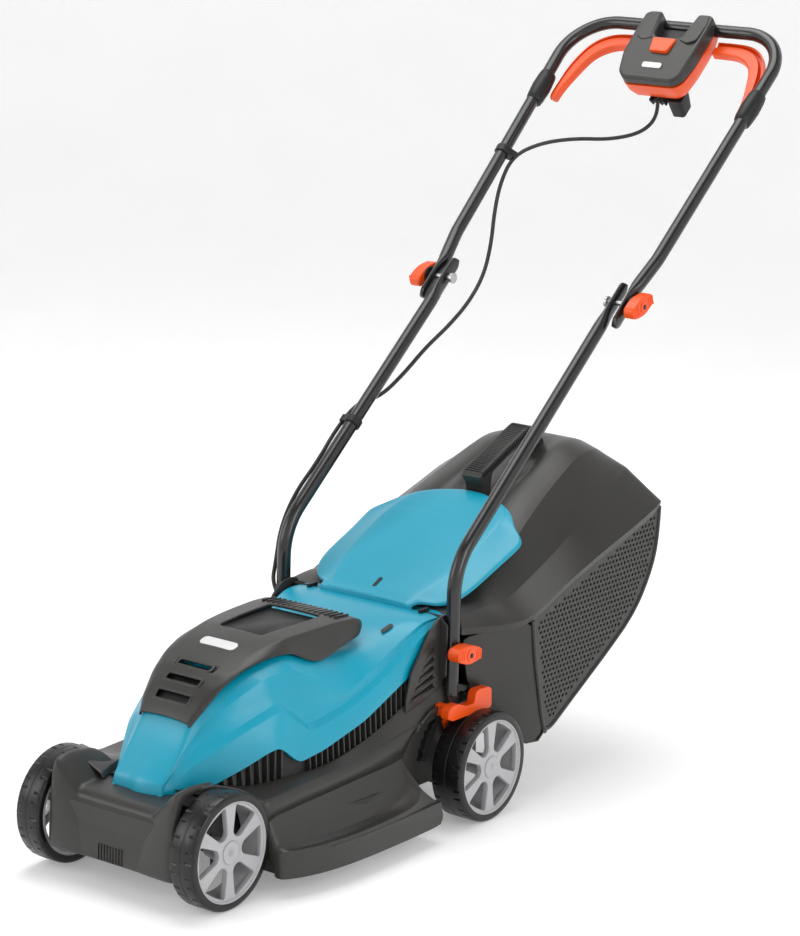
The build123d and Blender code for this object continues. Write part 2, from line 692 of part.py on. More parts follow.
bail_angle = slope
bail_origin = on_handle(0, bail_hinge_s, bail_hinge_n)
bail_plane = Plane(
    origin=bail_origin, x_dir=(1, 0, 0), z_dir=(0, -math.sin(bail_angle), math.cos(bail_angle))
)
bail_outer = [(56, 134), (122, 134), (144, 122), (164, 90), (172, 56), (174, 8), (174, -6)]
bail_inner = [(162, -6), (162, 12), (152, 56), (146, 84), (132, 104), (112, 112), (56, 112)]
for side, sign in (("right", 1), ("left", -1)):
    with BuildPart() as bail:
        with BuildSketch(bail_plane.offset(-6)):
            with BuildLine():
                Polyline(*[(sign * x, t) for x, t in bail_outer + bail_inner], close=True)
            make_face()
        extrude(amount=12)
        cross_rod(3, *sorted((sign * 171, sign * 182)), bail_origin[1], bail_origin[2])
    save(bail.part, f"bail_{side}")

with BuildPart() as bail_bar:
    with BuildSketch(bail_plane.offset(-5)):
        with Locations((0, 123)):
            Rectangle(112, 14)
    extrude(amount=10)
save(bail_bar.part, "bail_bar")

cover_plan = [(52, 545), (62, 536), (60, 440), (54, 418), (44, 412)]
base_plan = [(50, 545), (60, 536), (58, 440), (52, 414), (42, 408)]
with BuildPart() as switch_cover:
    with BuildSketch(handle_plane):
        with BuildLine():
            Polyline(*mirrored_outline(cover_plan), close=True)
        make_face()
    extrude(amount=28)
    chamfer(switch_cover.faces().sort_by(handle_normal)[-1].edges(), length=7)
    with BuildSketch(handle_plane.offset(-1)):
        with BuildLine():
            Polyline(*mirrored_outline([(50, 518), (54, 506), (52, 442), (42, 426)]), close=True)
        make_face()
    extrude(amount=22, mode=Mode.SUBTRACT)
    bar = on_handle(0, crossbar_s)
    cross_rod(tube_radius + 0.05, -90, 90, bar[1], bar[2], mode=Mode.SUBTRACT)
    with BuildSketch(handle_plane.offset(10)):
        with Locations((0, 470)):
            Rectangle(36.8, 30.8)
    extrude(amount=30, mode=Mode.SUBTRACT)
    # shallow notches over the bail arms
    with BuildSketch(handle_plane.offset(-1)):
        with Locations((0, bail_hinge_s + 121)):
            Rectangle(140, 28)
    extrude(amount=5, mode=Mode.SUBTRACT)
save(switch_cover.part, "switch_cover")

with BuildPart() as switch_base:
    with BuildSketch(handle_plane.offset(-34)):
        with BuildLine():
            Polyline(*mirrored_outline(base_plan), close=True)
        make_face()
    extrude(amount=33.7)
    with BuildSketch(handle_plane.offset(-31)):
        with BuildLine():
            Polyline(*mirrored_outline([(48, 518), (56, 508), (54, 442), (40, 416)]), close=True)
        make_face()
    extrude(amount=32, mode=Mode.SUBTRACT)
    bar = on_handle(0, crossbar_s)
    cross_rod(tube_radius + 0.05, -90, 90, bar[1], bar[2], mode=Mode.SUBTRACT)
    # side slots through which the bail arms reach in
    with BuildSketch(handle_plane.offset(-50)):
        with Locations((0, bail_hinge_s + 121)):
            Rectangle(140, 28)
    extrude(amount=50.0, mode=Mode.SUBTRACT)
save(switch_base.part, "switch_base")

with BuildPart() as lock_button:
    with BuildSketch(handle_plane.offset(16)):
        with Locations((0, 470)):
            Rectangle(36, 30)
    extrude(amount=15)
save(lock_button.part, "lock_button")

with BuildPart() as switch_badge:
    with BuildSketch(handle_plane.offset(28.2)):
        with Locations((0, 436)):
            SlotOverall(34, 9)
    extrude(amount=1.2)
save(switch_badge.part, "switch_badge")

with BuildPart() as plug_inlet:
    with BuildSketch(handle_plane.offset(-62)):
        with Locations((30, 420)):
            RectangleRounded(26, 30, 5)
    extrude(amount=26)
    with BuildSketch(handle_plane.offset(-58)):
        with Locations((30, 420)):
            RectangleRounded(20, 24, 4)
    extrude(amount=-12, mode=Mode.SUBTRACT)
    for x in (22.5, 37.5):
        with BuildSketch(handle_plane.offset(-36)):
            with Locations((x, 420)):
                Circle(2.4)
        extrude(amount=-24)
save(plug_inlet.part, "plug_inlet")

with BuildPart() as cable_hook:
    with BuildSketch(handle_plane.offset(-56)):
        with Locations((-22, 428)):
            Rectangle(10, 16)
    extrude(amount=20.0)
save(cable_hook.part, "cable_hook")


# ---------------------------------------------------------------- cable
def cord_radii(points):
    """Largest tangent arcs that fit the runs of a cord's route."""
    radii = []
    for before, here, after in zip(points, points[1:], points[2:]):
        run_in = Vector(*here) - Vector(*before)
        run_out = Vector(*after) - Vector(*here)
        half_turn = math.radians(run_in.get_angle(run_out) / 2)
        shorter = min(run_in.length, run_out.length)
        radii.append(0.45 * shorter / math.tan(half_turn))
    return radii


def middle(a, b):
    """The point halfway along one run of a route."""
    return tuple((p + q) / 2 for p, q in zip(a, b))


def build_cord(label, points):
    """A stretch of cable: straight runs joined by tangent arcs."""
    radii = cord_radii(points)
    with BuildPart() as cord:
        with BuildLine() as path:
            FilletPolyline(*points, radius=radii)
        heading = tuple(b - a for a, b in zip(points[0], points[1]))
        with BuildSketch(Plane(origin=points[0], z_dir=heading)):
            Circle(cable_radius)
        sweep(path=path.line)
    save(cord.part, label)


cable_route = [
    on_handle(-6, 422, -34.2), on_handle(-9, 412, -64), on_handle(-30, 386, -82), on_handle(-68, 354, -70),
    on_handle(-110, 325, -42), on_handle(-146, 290, -20), on_handle(-170, 250, -9), on_handle(-168, 200, -14),
    on_handle(-156, 150, -24), on_handle(-140, 100, -37), on_handle(-129, 48, -47), on_handle(-126, -6, -46),
    on_handle(-128, -60, -37), on_handle(-136, -112, -27), on_handle(-146, -164, -27),
    on_handle(-158, -215, -22), (-163, 52, 514), (-168, 10, 482), (-165, -37, 440), (-169, -82, 401),
    (-166, -117, 357), (-166, -126, 312), cable_entry[0], cable_entry[1],
]
split_upper = middle(cable_route[8], cable_route[9])
split_lower = middle(cable_route[12], cable_route[13])
build_cord("cable_upper", cable_route[:9] + [split_upper])
build_cord("cable_loop", [split_upper] + cable_route[9:13] + [split_lower])
build_cord("cable_lower", [split_lower] + cable_route[13:])

with BuildPart() as clip_upper:
    heading = tuple(b - a for a, b in zip(on_handle(-179, 85), on_handle(-193, crossbar_s)))
    tube_at_clip = on_handle(-184, 250)
    with BuildSketch(Plane(origin=tube_at_clip, x_dir=(1, 0, 0), z_dir=heading)):
        Circle(tube_radius + 2.5)
        with Locations((11, -4)):
            Circle(6)
        Circle(tube_radius + 0.05, mode=Mode.SUBTRACT)
    extrude(amount=5, both=True)
    with BuildSketch(Plane(origin=on_handle(-170, 250, -9), x_dir=(1, 0, 0), z_dir=heading)):
        Circle(cable_radius + 0.5)
    extrude(amount=12, both=True, mode=Mode.SUBTRACT)
save(clip_upper.part, "clip_upper")
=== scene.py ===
import math

import bmesh
import bpy
from mathutils import Matrix, Vector
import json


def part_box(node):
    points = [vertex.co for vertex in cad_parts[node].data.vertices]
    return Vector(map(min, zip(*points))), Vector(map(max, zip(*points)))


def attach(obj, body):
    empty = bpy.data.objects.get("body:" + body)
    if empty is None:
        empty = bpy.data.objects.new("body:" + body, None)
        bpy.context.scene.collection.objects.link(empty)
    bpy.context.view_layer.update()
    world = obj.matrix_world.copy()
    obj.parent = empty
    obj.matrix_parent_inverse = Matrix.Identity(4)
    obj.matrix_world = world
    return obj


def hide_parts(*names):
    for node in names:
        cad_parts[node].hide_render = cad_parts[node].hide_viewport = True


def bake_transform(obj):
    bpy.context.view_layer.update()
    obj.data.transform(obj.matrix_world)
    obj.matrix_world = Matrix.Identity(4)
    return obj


# A corded rotary lawn mower. Lengths in this script are millimetres until mesh_piece() or the cable
# turns them into metres. +X is the mower's right side, +Y points back to the user, +Z is up.

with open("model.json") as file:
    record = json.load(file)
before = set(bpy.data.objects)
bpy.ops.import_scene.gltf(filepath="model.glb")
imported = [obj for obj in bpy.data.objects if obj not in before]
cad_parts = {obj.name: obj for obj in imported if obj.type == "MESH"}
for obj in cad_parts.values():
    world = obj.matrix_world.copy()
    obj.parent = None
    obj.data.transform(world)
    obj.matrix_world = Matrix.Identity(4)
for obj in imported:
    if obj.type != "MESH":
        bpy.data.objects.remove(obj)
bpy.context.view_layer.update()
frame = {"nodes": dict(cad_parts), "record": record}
MM = 0.001


def box_mm(node):
    """The lowest and highest corners of a CAD node, in millimetres."""
    low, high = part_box(node)
    return [v / MM for v in low], [v / MM for v in high]


# ---------------------------------------------------------------- places taken from the frame
def wheel_place(name):
    """Axle position and the inner and outer faces of one wheel."""
    low, high = box_mm(f"tyre_{name}")
    inner, outer = (low[0], high[0]) if low[0] > 0 else (high[0], low[0])
    return (low[1] + high[1]) / 2, (low[2] + high[2]) / 2, inner, outer


joints = {joint["name"]: joint for joint in frame["record"]["behaviour"]["joints"]}
fold_at = [v / MM for v in joints["handle_fold"]["pos_m"]]
JUNCTION_Y, JUNCTION_Z = fold_at[1], fold_at[2]
SLOPE = math.radians(42.5)
CROSSBAR_S = 530.0
TUBE_RADIUS = 10.0
LOWER_TUBE_X = 150.0
LOWER_TUBE_Y = box_mm("lower_tube_right")[0][1] + TUBE_RADIUS
FOOT_Z = box_mm("lower_tube_right")[0][2]


def on_handle(x, s, n=0.0):
    """Point x across the handle, s up its slope from the fold and n above its plane."""
    y = JUNCTION_Y + s * math.cos(SLOPE) - n * math.sin(SLOPE)
    z = JUNCTION_Z + s * math.sin(SLOPE) + n * math.cos(SLOPE)
    return (x, y, z)


# ---------------------------------------------------------------- camera
def add_camera():
    """The camera stands at the front left corner, a little above the hood."""
    camera = bpy.data.objects.new("camera", bpy.data.cameras.new("camera"))
    bpy.context.scene.collection.objects.link(camera)
    azimuth, height, roll = math.radians(37.047), math.radians(13.2), math.radians(1.527)
    distance = 3.9427
    target = Vector((0.1745, -0.290, 0.5288))
    back = Vector((
        math.sin(azimuth) * math.cos(height), -math.cos(azimuth) * math.cos(height), math.sin(height)
    ))
    right = Vector((math.cos(azimuth), math.sin(azimuth), 0.0))
    up = back.cross(right)
    side = right * math.cos(roll) + up * math.sin(roll)
    top = up * math.cos(roll) - right * math.sin(roll)
    camera.location = target + back * distance
    camera.matrix_world = Matrix((
        (side.x, top.x, back.x, camera.location.x),
        (side.y, top.y, back.y, camera.location.y),
        (side.z, top.z, back.z, camera.location.z),
        (0, 0, 0, 1),
    ))
    camera.data.sensor_width = 36
    camera.data.lens = 116.67
    camera.data.clip_end = 100
    bpy.context.scene.camera = camera


add_camera()


# ---------------------------------------------------------------- materials
def new_material(name):
    """A material with its shader and an object coordinate to drive patterns."""
    material = bpy.data.materials.new(name)
    material.use_nodes = True
    nodes, links = material.node_tree.nodes, material.node_tree.links
    shader = nodes["Principled BSDF"]
    coords = nodes.new("ShaderNodeTexCoord")
    return material, nodes, links, shader, coords


def noise_node(nodes, links, coords, scale, detail=3.0, rough=0.6):
    """Noise over object space; scale is in waves per metre."""
    noise = nodes.new("ShaderNodeTexNoise")
    noise.inputs["Scale"].default_value = scale
    noise.inputs["Detail"].default_value = detail
    noise.inputs["Roughness"].default_value = rough
    links.new(coords.outputs["Object"], noise.inputs["Vector"])
    return noise


def ramp_node(nodes, links, source, stops):
    """A colour ramp fed by source; stops are (position, colour)."""
    ramp = nodes.new("ShaderNodeValToRGB")
    while len(ramp.color_ramp.elements) < len(stops):
        ramp.color_ramp.elements.new(0.5)
    for element, (position, colour) in zip(ramp.color_ramp.elements, stops):
        element.position = position
        element.color = (*colour, 1.0)
    links.new(source, ramp.inputs["Fac"])
    return ramp


def shade(colour, factor):
    """A colour made lighter or darker."""
    return tuple(min(1.0, c * factor) for c in colour)


def moulded_plastic(name, colour, rough, grain=0.12, grain_scale=900.0, variation=0.10, spec=0.5):
    """Moulded plastic: fine spark-eroded grain, faint blotches and uneven sheen."""
    material, nodes, links, shader, coords = new_material(name)
    blotch = noise_node(nodes, links, coords, 9.0, 4.0)
    tint = ramp_node(nodes, links, blotch.outputs["Fac"], [
        (0.25, shade(colour, 1 - variation)), (0.5, colour), (0.78, shade(colour, 1 + variation)),
    ])
    links.new(tint.outputs["Color"], shader.inputs["Base Color"])
    sheen = noise_node(nodes, links, coords, 60.0, 5.0)
    gloss = nodes.new("ShaderNodeMapRange")
    gloss.inputs["To Min"].default_value = rough - 0.06
    gloss.inputs["To Max"].default_value = rough + 0.07
    links.new(sheen.outputs["Fac"], gloss.inputs["Value"])
    links.new(gloss.outputs["Result"], shader.inputs["Roughness"])
    fine = noise_node(nodes, links, coords, grain_scale, 2.0)
    bump = nodes.new("ShaderNodeBump")
    bump.inputs["Strength"].default_value = grain
    bump.inputs["Distance"].default_value = 0.0004
    links.new(fine.outputs["Fac"], bump.inputs["Height"])
    links.new(bump.outputs["Normal"], shader.inputs["Normal"])
    shader.inputs["Specular IOR Level"].default_value = spec
    return material


def metal(name, colour, rough, brushed=0.15, metallic=1.0, coat=0.0):
    """Metal with fine scratches; coat adds a lacquer."""
    material, nodes, links, shader, coords = new_material(name)
    stretch = nodes.new("ShaderNodeMapping")
    stretch.inputs["Scale"].default_value = (30.0, 600.0, 600.0)
    links.new(coords.outputs["Object"], stretch.inputs["Vector"])
    scratch = nodes.new("ShaderNodeTexNoise")
    scratch.inputs["Scale"].default_value = 2.0
    links.new(stretch.outputs["Vector"], scratch.inputs["Vector"])
    tint = ramp_node(nodes, links, scratch.outputs["Fac"], [
        (0.3, shade(colour, 0.85)), (0.7, shade(colour, 1.12)),
    ])
    links.new(tint.outputs["Color"], shader.inputs["Base Color"])
    gloss = nodes.new("ShaderNodeMapRange")
    gloss.inputs["To Min"].default_value = max(0.03, rough - brushed / 2)
    gloss.inputs["To Max"].default_value = rough + brushed / 2
    links.new(scratch.outputs["Fac"], gloss.inputs["Value"])
    links.new(gloss.outputs["Result"], shader.inputs["Roughness"])
    shader.inputs["Metallic"].default_value = metallic
    shader.inputs["Coat Weight"].default_value = coat
    shader.inputs["Coat Roughness"].default_value = 0.06
    return material


GREY = moulded_plastic("grey_plastic", (0.030, 0.029, 0.027), 0.34, grain=0.30, spec=0.4)
DARK = moulded_plastic("dark_plastic", (0.009, 0.009, 0.009), 0.42, grain=0.2, spec=0.35)
TURQUOISE = moulded_plastic("turquoise_plastic", (0.0, 0.31, 0.45), 0.33, grain=0.16, variation=0.05)
ORANGE = moulded_plastic("orange_plastic", (0.82, 0.075, 0.0), 0.34, grain=0.14, variation=0.06)
TREAD = moulded_plastic("tread_plastic", (0.006, 0.006, 0.006), 0.30, grain=0.15, spec=0.4)
RIM = moulded_plastic("rim_plastic", (0.40, 0.40, 0.41), 0.38, grain=0.2, variation=0.05)
BADGE = moulded_plastic("badge_plastic", (0.72, 0.72, 0.72), 0.22, grain=0.03, variation=0.03)
RUBBER = moulded_plastic("cable_rubber", (0.010, 0.010, 0.010), 0.45, grain=0.3)
PAINT = metal("tube_paint", (0.009, 0.009, 0.009), 0.24, brushed=0.06, metallic=0.0, coat=0.25)
STEEL = metal("steel", (0.50, 0.50, 0.51), 0.32)
ALLOY = metal("alloy", (0.62, 0.62, 0.64), 0.45, brushed=0.1)
STACK = metal("motor_stack", (0.22, 0.17, 0.12), 0.5)


# ---------------------------------------------------------------- mesh helpers
def mesh_piece(name, verts, faces, material, body, smooth=True):
    """A mesh object from points in millimetres, riding on a body."""
    mesh = bpy.data.meshes.new(name)
    mesh.from_pydata([tuple(c * MM for c in v) for v in verts], [], faces)
    piece = bpy.data.objects.new(name, mesh)
    bpy.context.scene.collection.objects.link(piece)
    finish_piece(piece, material, body, smooth)
    return piece


def finish_piece(piece, material, body, smooth=True):
    """Clean normals, shading, material and body of a piece."""
    work = bmesh.new()
    work.from_mesh(piece.data)
    bmesh.ops.remove_doubles(work, verts=work.verts, dist=1e-6)
    bmesh.ops.recalc_face_normals(work, faces=work.faces)
    work.to_mesh(piece.data)
    work.free()
    for polygon in piece.data.polygons:
        polygon.use_smooth = smooth
    piece.data.materials.clear()
    piece.data.materials.append(material)
    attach(piece, body)


def along(table, where):
    """Interpolate rows of (station, value, ...) at a station."""
    if where <= table[0][0]:
        return table[0][1:]
    for low, high in zip(table, table[1:]):
        if where <= high[0]:
            t = (where - low[0]) / (high[0] - low[0])
            return tuple(a + (b - a) * t for a, b in zip(low[1:], high[1:]))
    return table[-1][1:]


def grid_faces(rows, cols, skip=(), wrap=False):
    """Quads of a grid of points, without those named in skip as (row, column)."""
    faces = []
    for i in range(rows - 1):
        for j in range(cols if wrap else cols - 1):
            if (i, j) in skip:
                continue
            k = (j + 1) % cols
            faces.append((i * cols + j, i * cols + k, (i + 1) * cols + k, (i + 1) * cols + j))
    return faces


def skin(name, rows, material, body, skip=(), wrap=False, caps=False):
    """A sheet of quads through rows of points."""
    cols = len(rows[0])
    verts = [point for row in rows for point in row]
    faces = grid_faces(len(rows), cols, skip, wrap)
    if caps:
        faces.append(tuple(range(cols - 1, -1, -1)))
        faces.append(tuple((len(rows) - 1) * cols + j for j in range(cols)))
    return mesh_piece(name, verts, faces, material, body)


def point_key(point):
    """A point in millimetres as a dictionary key."""
    return tuple(round(c, 2) for c in point)


def crease(piece, test, amount=0.9):
    """Sharpen subdivision along the edges whose two ends pass a test (points in millimetres)."""
    mesh = piece.data
    layer = mesh.attributes.get("crease_edge") or mesh.attributes.new("crease_edge", "FLOAT", "EDGE")
    for edge in mesh.edges:
        a, b = (mesh.vertices[i].co / MM for i in edge.vertices)
        if test(a, b):
            layer.data[edge.index].value = amount


def crease_open_edges(piece, amount=0.9):
    """Sharpen the free rims of a sheet."""
    mesh = piece.data
    layer = mesh.attributes.get("crease_edge") or mesh.attributes.new("crease_edge", "FLOAT", "EDGE")
    count = {}
    for polygon in mesh.polygons:
        for key in polygon.edge_keys:
            count[key] = count.get(key, 0) + 1
    for edge in mesh.edges:
        if count.get(tuple(sorted(edge.vertices)), 0) == 1:
            layer.data[edge.index].value = amount


def crease_columns(piece, rows, amount_at):
    """Sharpen the lines that run along a skin's rows; amount_at(row, column) gives how much, or 0."""
    mesh = piece.data
    layer = mesh.attributes.get("crease_edge") or mesh.attributes.new("crease_edge", "FLOAT", "EDGE")
    place = {point_key(p): (i, j) for i, row in enumerate(rows) for j, p in enumerate(row)}
    for edge in mesh.edges:
        a, b = (place.get(point_key(mesh.vertices[v].co / MM)) for v in edge.vertices)
        if a is not None and b is not None and a[1] == b[1]:
            amount = amount_at(*a)
            if amount:
                layer.data[edge.index].value = amount


def subdivide(piece, levels=2):
    """Catmull-Clark smoothing that keeps fully creased edges crisp."""
    creases = piece.data.attributes.get("crease_edge")
    if creases:
        for edge in piece.data.edges:
            if creases.data[edge.index].value >= 0.8:
                edge.use_edge_sharp = True
    modifier = piece.modifiers.new("smooth", "SUBSURF")
    modifier.levels = levels
    modifier.render_levels = levels
    return piece


def thicken(piece, thickness, even=True):
    """Give a sheet its wall, inwards."""
    modifier = piece.modifiers.new("wall", "SOLIDIFY")
    modifier.thickness = thickness * MM
    modifier.offset = -1.0
    modifier.use_even_offset = even
    return piece


def round_edges(piece, width, segments=3, angle=35.0):
    """Bevel the sharp edges of a hard piece and shade it by angle."""
    modifier = piece.modifiers.new("round", "BEVEL")
    modifier.width = width * MM
    modifier.segments = segments
    modifier.limit_method = "ANGLE"
    modifier.angle_limit = math.radians(angle)
    modifier.harden_normals = True
    return piece


def prism(name, outline, depth, place, material, body, bevel=1.0, segments=3):
    """Extrude a 2-D outline by depth; place(u, v, w) gives the point for outline (u, v) at height w."""
    count = len(outline)
    verts = [place(u, v, 0.0) for u, v in outline] + [place(u, v, depth) for u, v in outline]
    faces = [tuple(range(count - 1, -1, -1)), tuple(range(count, 2 * count))]
    faces += [(i, (i + 1) % count, count + (i + 1) % count, count + i) for i in range(count)]
    piece = mesh_piece(name, verts, faces, material, body)
    if bevel:
        round_edges(piece, bevel, segments)
    return piece


def round_corners(points, radius, steps=5):
    """Replace each corner of a closed outline by an arc-like curve."""
    result = []
    count = len(points)
    for i in range(count):
        here = Vector(points[i])
        before = Vector(points[i - 1]) - here
        after = Vector(points[(i + 1) % count]) - here
        reach = min(radius, before.length * 0.45, after.length * 0.45)
        start = here + before.normalized() * reach
        end = here + after.normalized() * reach
        for step in range(steps + 1):
            t = step / steps
            point = start * (1 - t) ** 2 + here * 2 * t * (1 - t) + end * t * t
            result.append((point.x, point.y))
    return result


def revolve_x(name, profile, axle_y, axle_z, material, body, count=96, radius_at=None):
    """Turn a closed (x, radius) profile about a wheel's axle."""
    rows = []
    for step in range(count):
        angle = 2 * math.pi * step / count
        row = []
        for index, (x, radius) in enumerate(profile):
            r = radius_at(index, step, radius) if radius_at else radius
            row.append((x, axle_y + r * math.cos(angle), axle_z + r * math.sin(angle)))
        rows.append(row)
    rows.append(rows[0])
    verts = [point for row in rows for point in row]
    return mesh_piece(name, verts, grid_faces(len(rows), len(profile), wrap=True), material, body)


def flat_curve(name, loops, thickness, bevel, place, material, body, resolution=2):
    """A flat plate with holes: loops of (u, v) points, the outer one first."""
    data = bpy.data.curves.new(name, "CURVE")
    data.dimensions = "2D"
    data.fill_mode = "BOTH"
    data.extrude = max(0.0, thickness / 2 - bevel) * MM
    data.bevel_depth = bevel * MM
    data.bevel_resolution = resolution
    for loop in loops:
        spline = data.splines.new("POLY")
        spline.points.add(len(loop) - 1)
        for point, (u, v) in zip(spline.points, loop):
            point.co = (u * MM, v * MM, 0, 1)
        spline.use_cyclic_u = True
    holder = bpy.data.objects.new(name + "_outline", data)
    bpy.context.scene.collection.objects.link(holder)
    mesh = bpy.data.meshes.new_from_object(holder)
    bpy.data.objects.remove(holder)
    for vertex in mesh.vertices:
        vertex.co = Vector(place(*(vertex.co / MM))) * MM
    piece = bpy.data.objects.new(name, mesh)
    bpy.context.scene.collection.objects.link(piece)
    finish_piece(piece, material, body)
    return piece


def ring(count, radius, centre=(0.0, 0.0), start=0.0):
    """Points round a circle."""
    return [
        (centre[0] + radius * math.cos(start + 2 * math.pi * i / count),
         centre[1] + radius * math.sin(start + 2 * math.pi * i / count))
        for i in range(count)
    ]


def tube_piece(name, points, radius, material, body, cyclic=False, order=3, resolution=16):
    """A round tube on a smooth NURBS line through control points in millimetres."""
    data = bpy.data.curves.new(name, "CURVE")
    data.dimensions = "3D"
    data.bevel_depth = radius * MM
    data.bevel_resolution = 6
    data.use_fill_caps = True
    data.resolution_u = resolution
    spline = data.splines.new("NURBS")
    spline.points.add(len(points) - 1)
    for point, where in zip(spline.points, points):
        point.co = (*(c * MM for c in where), 1)
    spline.order_u = order
    spline.use_endpoint_u = True
    piece = bpy.data.objects.new(name, data)
    bpy.context.scene.collection.objects.link(piece)
    data.materials.append(material)
    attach(piece, body)
    return piece


# ---------------------------------------------------------------- cable
CABLE_ROUTE = [
    on_handle(-6, 422, -34.2), on_handle(-9, 412, -64), on_handle(-30, 386, -82), on_handle(-68, 354, -70),
    on_handle(-110, 325, -42), on_handle(-146, 290, -20), on_handle(-170, 250, -9), on_handle(-168, 200, -14),
    on_handle(-156, 150, -24), on_handle(-140, 100, -37), on_handle(-129, 48, -47), on_handle(-126, -6, -46),
    on_handle(-128, -60, -37), on_handle(-136, -112, -27), on_handle(-146, -164, -27), on_handle(-158, -215,
    -22),
    (-163, 52, 514), (-168, 10, 482), (-165, -37, 440), (-169, -82, 401), (-166, -117, 357), (-166, -126,
    312),
    (-162, -140, 276), (-136, -147, 260),
]
CABLE_RADIUS = 3.0


def middle(a, b):
    """The point halfway along one run of a route."""
    return tuple((p + q) / 2 for p, q in zip(a, b))


def add_cable():
    """The lead from the switch to the deck: fixed above and below, free round the fold."""
    upper_end = middle(CABLE_ROUTE[8], CABLE_ROUTE[9])
    lower_end = middle(CABLE_ROUTE[12], CABLE_ROUTE[13])
    upper = CABLE_ROUTE[:9] + [upper_end]
    loop = [upper_end] + CABLE_ROUTE[9:13] + [lower_end]
    lower = [lower_end] + CABLE_ROUTE[13:]
    piece = tube_piece("cable_upper_lead", upper, CABLE_RADIUS, RUBBER, "handle")
    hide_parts("cable_upper")
    piece = tube_piece("cable_lower_lead", lower, CABLE_RADIUS, RUBBER, "mower_body")
    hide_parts("cable_lower")
    curve = tube_piece("cable_fold_curve", loop, CABLE_RADIUS, RUBBER, "mower_body")
    mesh = bpy.data.meshes.new_from_object(curve)
    bpy.data.objects.remove(curve)
    bend = bpy.data.objects.new("cable_fold_lead", mesh)
    bpy.context.scene.collection.objects.link(bend)
    mesh.materials.clear()
    mesh.materials.append(RUBBER)
    for polygon in mesh.polygons:
        polygon.use_smooth = True
    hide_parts("cable_loop")
    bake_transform(bend)


add_cable()


# ---------------------------------------------------------------- wheels
TREAD_BLOCKS = 14
RIM_RADIUS = 66.7


def add_wheel(name):
    """Tyre with grooved edges, six-spoke rim and hub cap."""
    axle_y, axle_z, inner, outer = wheel_place(name)
    body = f"wheel_{name}"
    sign = 1 if outer > inner else -1
    width = abs(outer - inner)
    wheel_r = 77.5
    stations = [
        (0.0, RIM_RADIUS), (0.0, wheel_r - 5.5), (0.6, wheel_r - 2.6), (2.2, wheel_r - 0.8), (4.0,
        wheel_r - 0.2),
        (12.6, wheel_r), (13.2, wheel_r), (width / 2 - 1.4, wheel_r), (width / 2 - 0.9, wheel_r - 0.5),
        (width / 2 + 0.9, wheel_r - 0.5), (width / 2 + 1.4, wheel_r), (width - 13.2, wheel_r),
        (width - 12.6, wheel_r), (width - 4.0, wheel_r - 0.2), (width - 2.2, wheel_r - 0.8),
        (width - 0.6, wheel_r - 2.6), (width, wheel_r - 5.5), (width, RIM_RADIUS),
    ]
    profile = [(inner + sign * w, r) for w, r in stations]
    steps = TREAD_BLOCKS * 16
    last = len(stations) - 1

    def groove(index, step, radius):
        edge = min(index, last - index)
        phase = step % 16 if index < last / 2 else (step + 8) % 16
        return radius - 1.5 if phase in (0, 6) and 4 <= edge <= 5 else radius

    tyre = revolve_x(f"tread_{name}", profile, axle_y, axle_z, TREAD, body, steps, groove)
    round_edges(tyre, 0.45, 2, 30)
    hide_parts(f"tyre_{name}")

    def face(depth):
        return lambda u, v, w: (outer - sign * (depth - w), axle_y + u, axle_z + v)

    windows = []
    for turn in range(6):
        angle = math.radians(60 * turn)
        corner = [(23.5, -9.0), (60.0, -24.0), (61.6, 0.0), (60.0, 24.0), (23.5, 9.0), (20.0, 0.0)]
        rounded = round_corners(corner, 7.0)
        windows.append([
            (r * math.cos(angle) - t * math.sin(angle), r * math.sin(angle) + t * math.cos(angle))
            for r, t in rounded
        ])
    outline = ring(120, RIM_RADIUS - 0.2)
    plate = flat_curve(f"spokes_{name}", [outline] + windows, 9.0, 1.3, face(7.5), RIM, body)
    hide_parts(f"rim_{name}")
    barrel_profile = [
        (outer - sign * 0.4, RIM_RADIUS), (outer - sign * 0.2, RIM_RADIUS - 1.4), (outer - sign * 1.6,
        RIM_RADIUS - 3.0),
        (outer - sign * 4.0, RIM_RADIUS - 3.6), (inner + sign * 3, RIM_RADIUS - 6.5), (inner + sign * 1,
        RIM_RADIUS - 5),
        (inner + sign * 1, RIM_RADIUS),
    ]
    barrel = revolve_x(f"rim_barrel_{name}", barrel_profile, axle_y, axle_z, RIM, body, 96)
    round_edges(barrel, 0.5, 2)
    hub_profile = [
        (inner + sign * 1, 6.0), (inner + sign * 1, 13.0), (outer - sign * 12, 17.0), (outer - sign * 7,
        21.0),
        (outer - sign * 4, 19.0), (outer - sign * 3.2, 6.0),
    ]
    hub = revolve_x(f"hub_{name}", hub_profile, axle_y, axle_z, RIM, body, 64)
    round_edges(hub, 0.8, 2)
    cap_profile = [
        (outer - sign * 4, 0.01), (outer - sign * 4, 15.6), (outer - sign * 1.8, 15.6), (outer - sign * 0.9,
        14.6),
        (outer - sign * 0.6, 12.0), (outer - sign * 0.5, 0.01),
    ]
    cap = revolve_x(f"cap_{name}", cap_profile, axle_y, axle_z, RIM, body, 64)
    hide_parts(f"hub_cap_{name}")


for wheel in ("front_left", "front_right", "rear_left", "rear_right"):
    add_wheel(wheel)

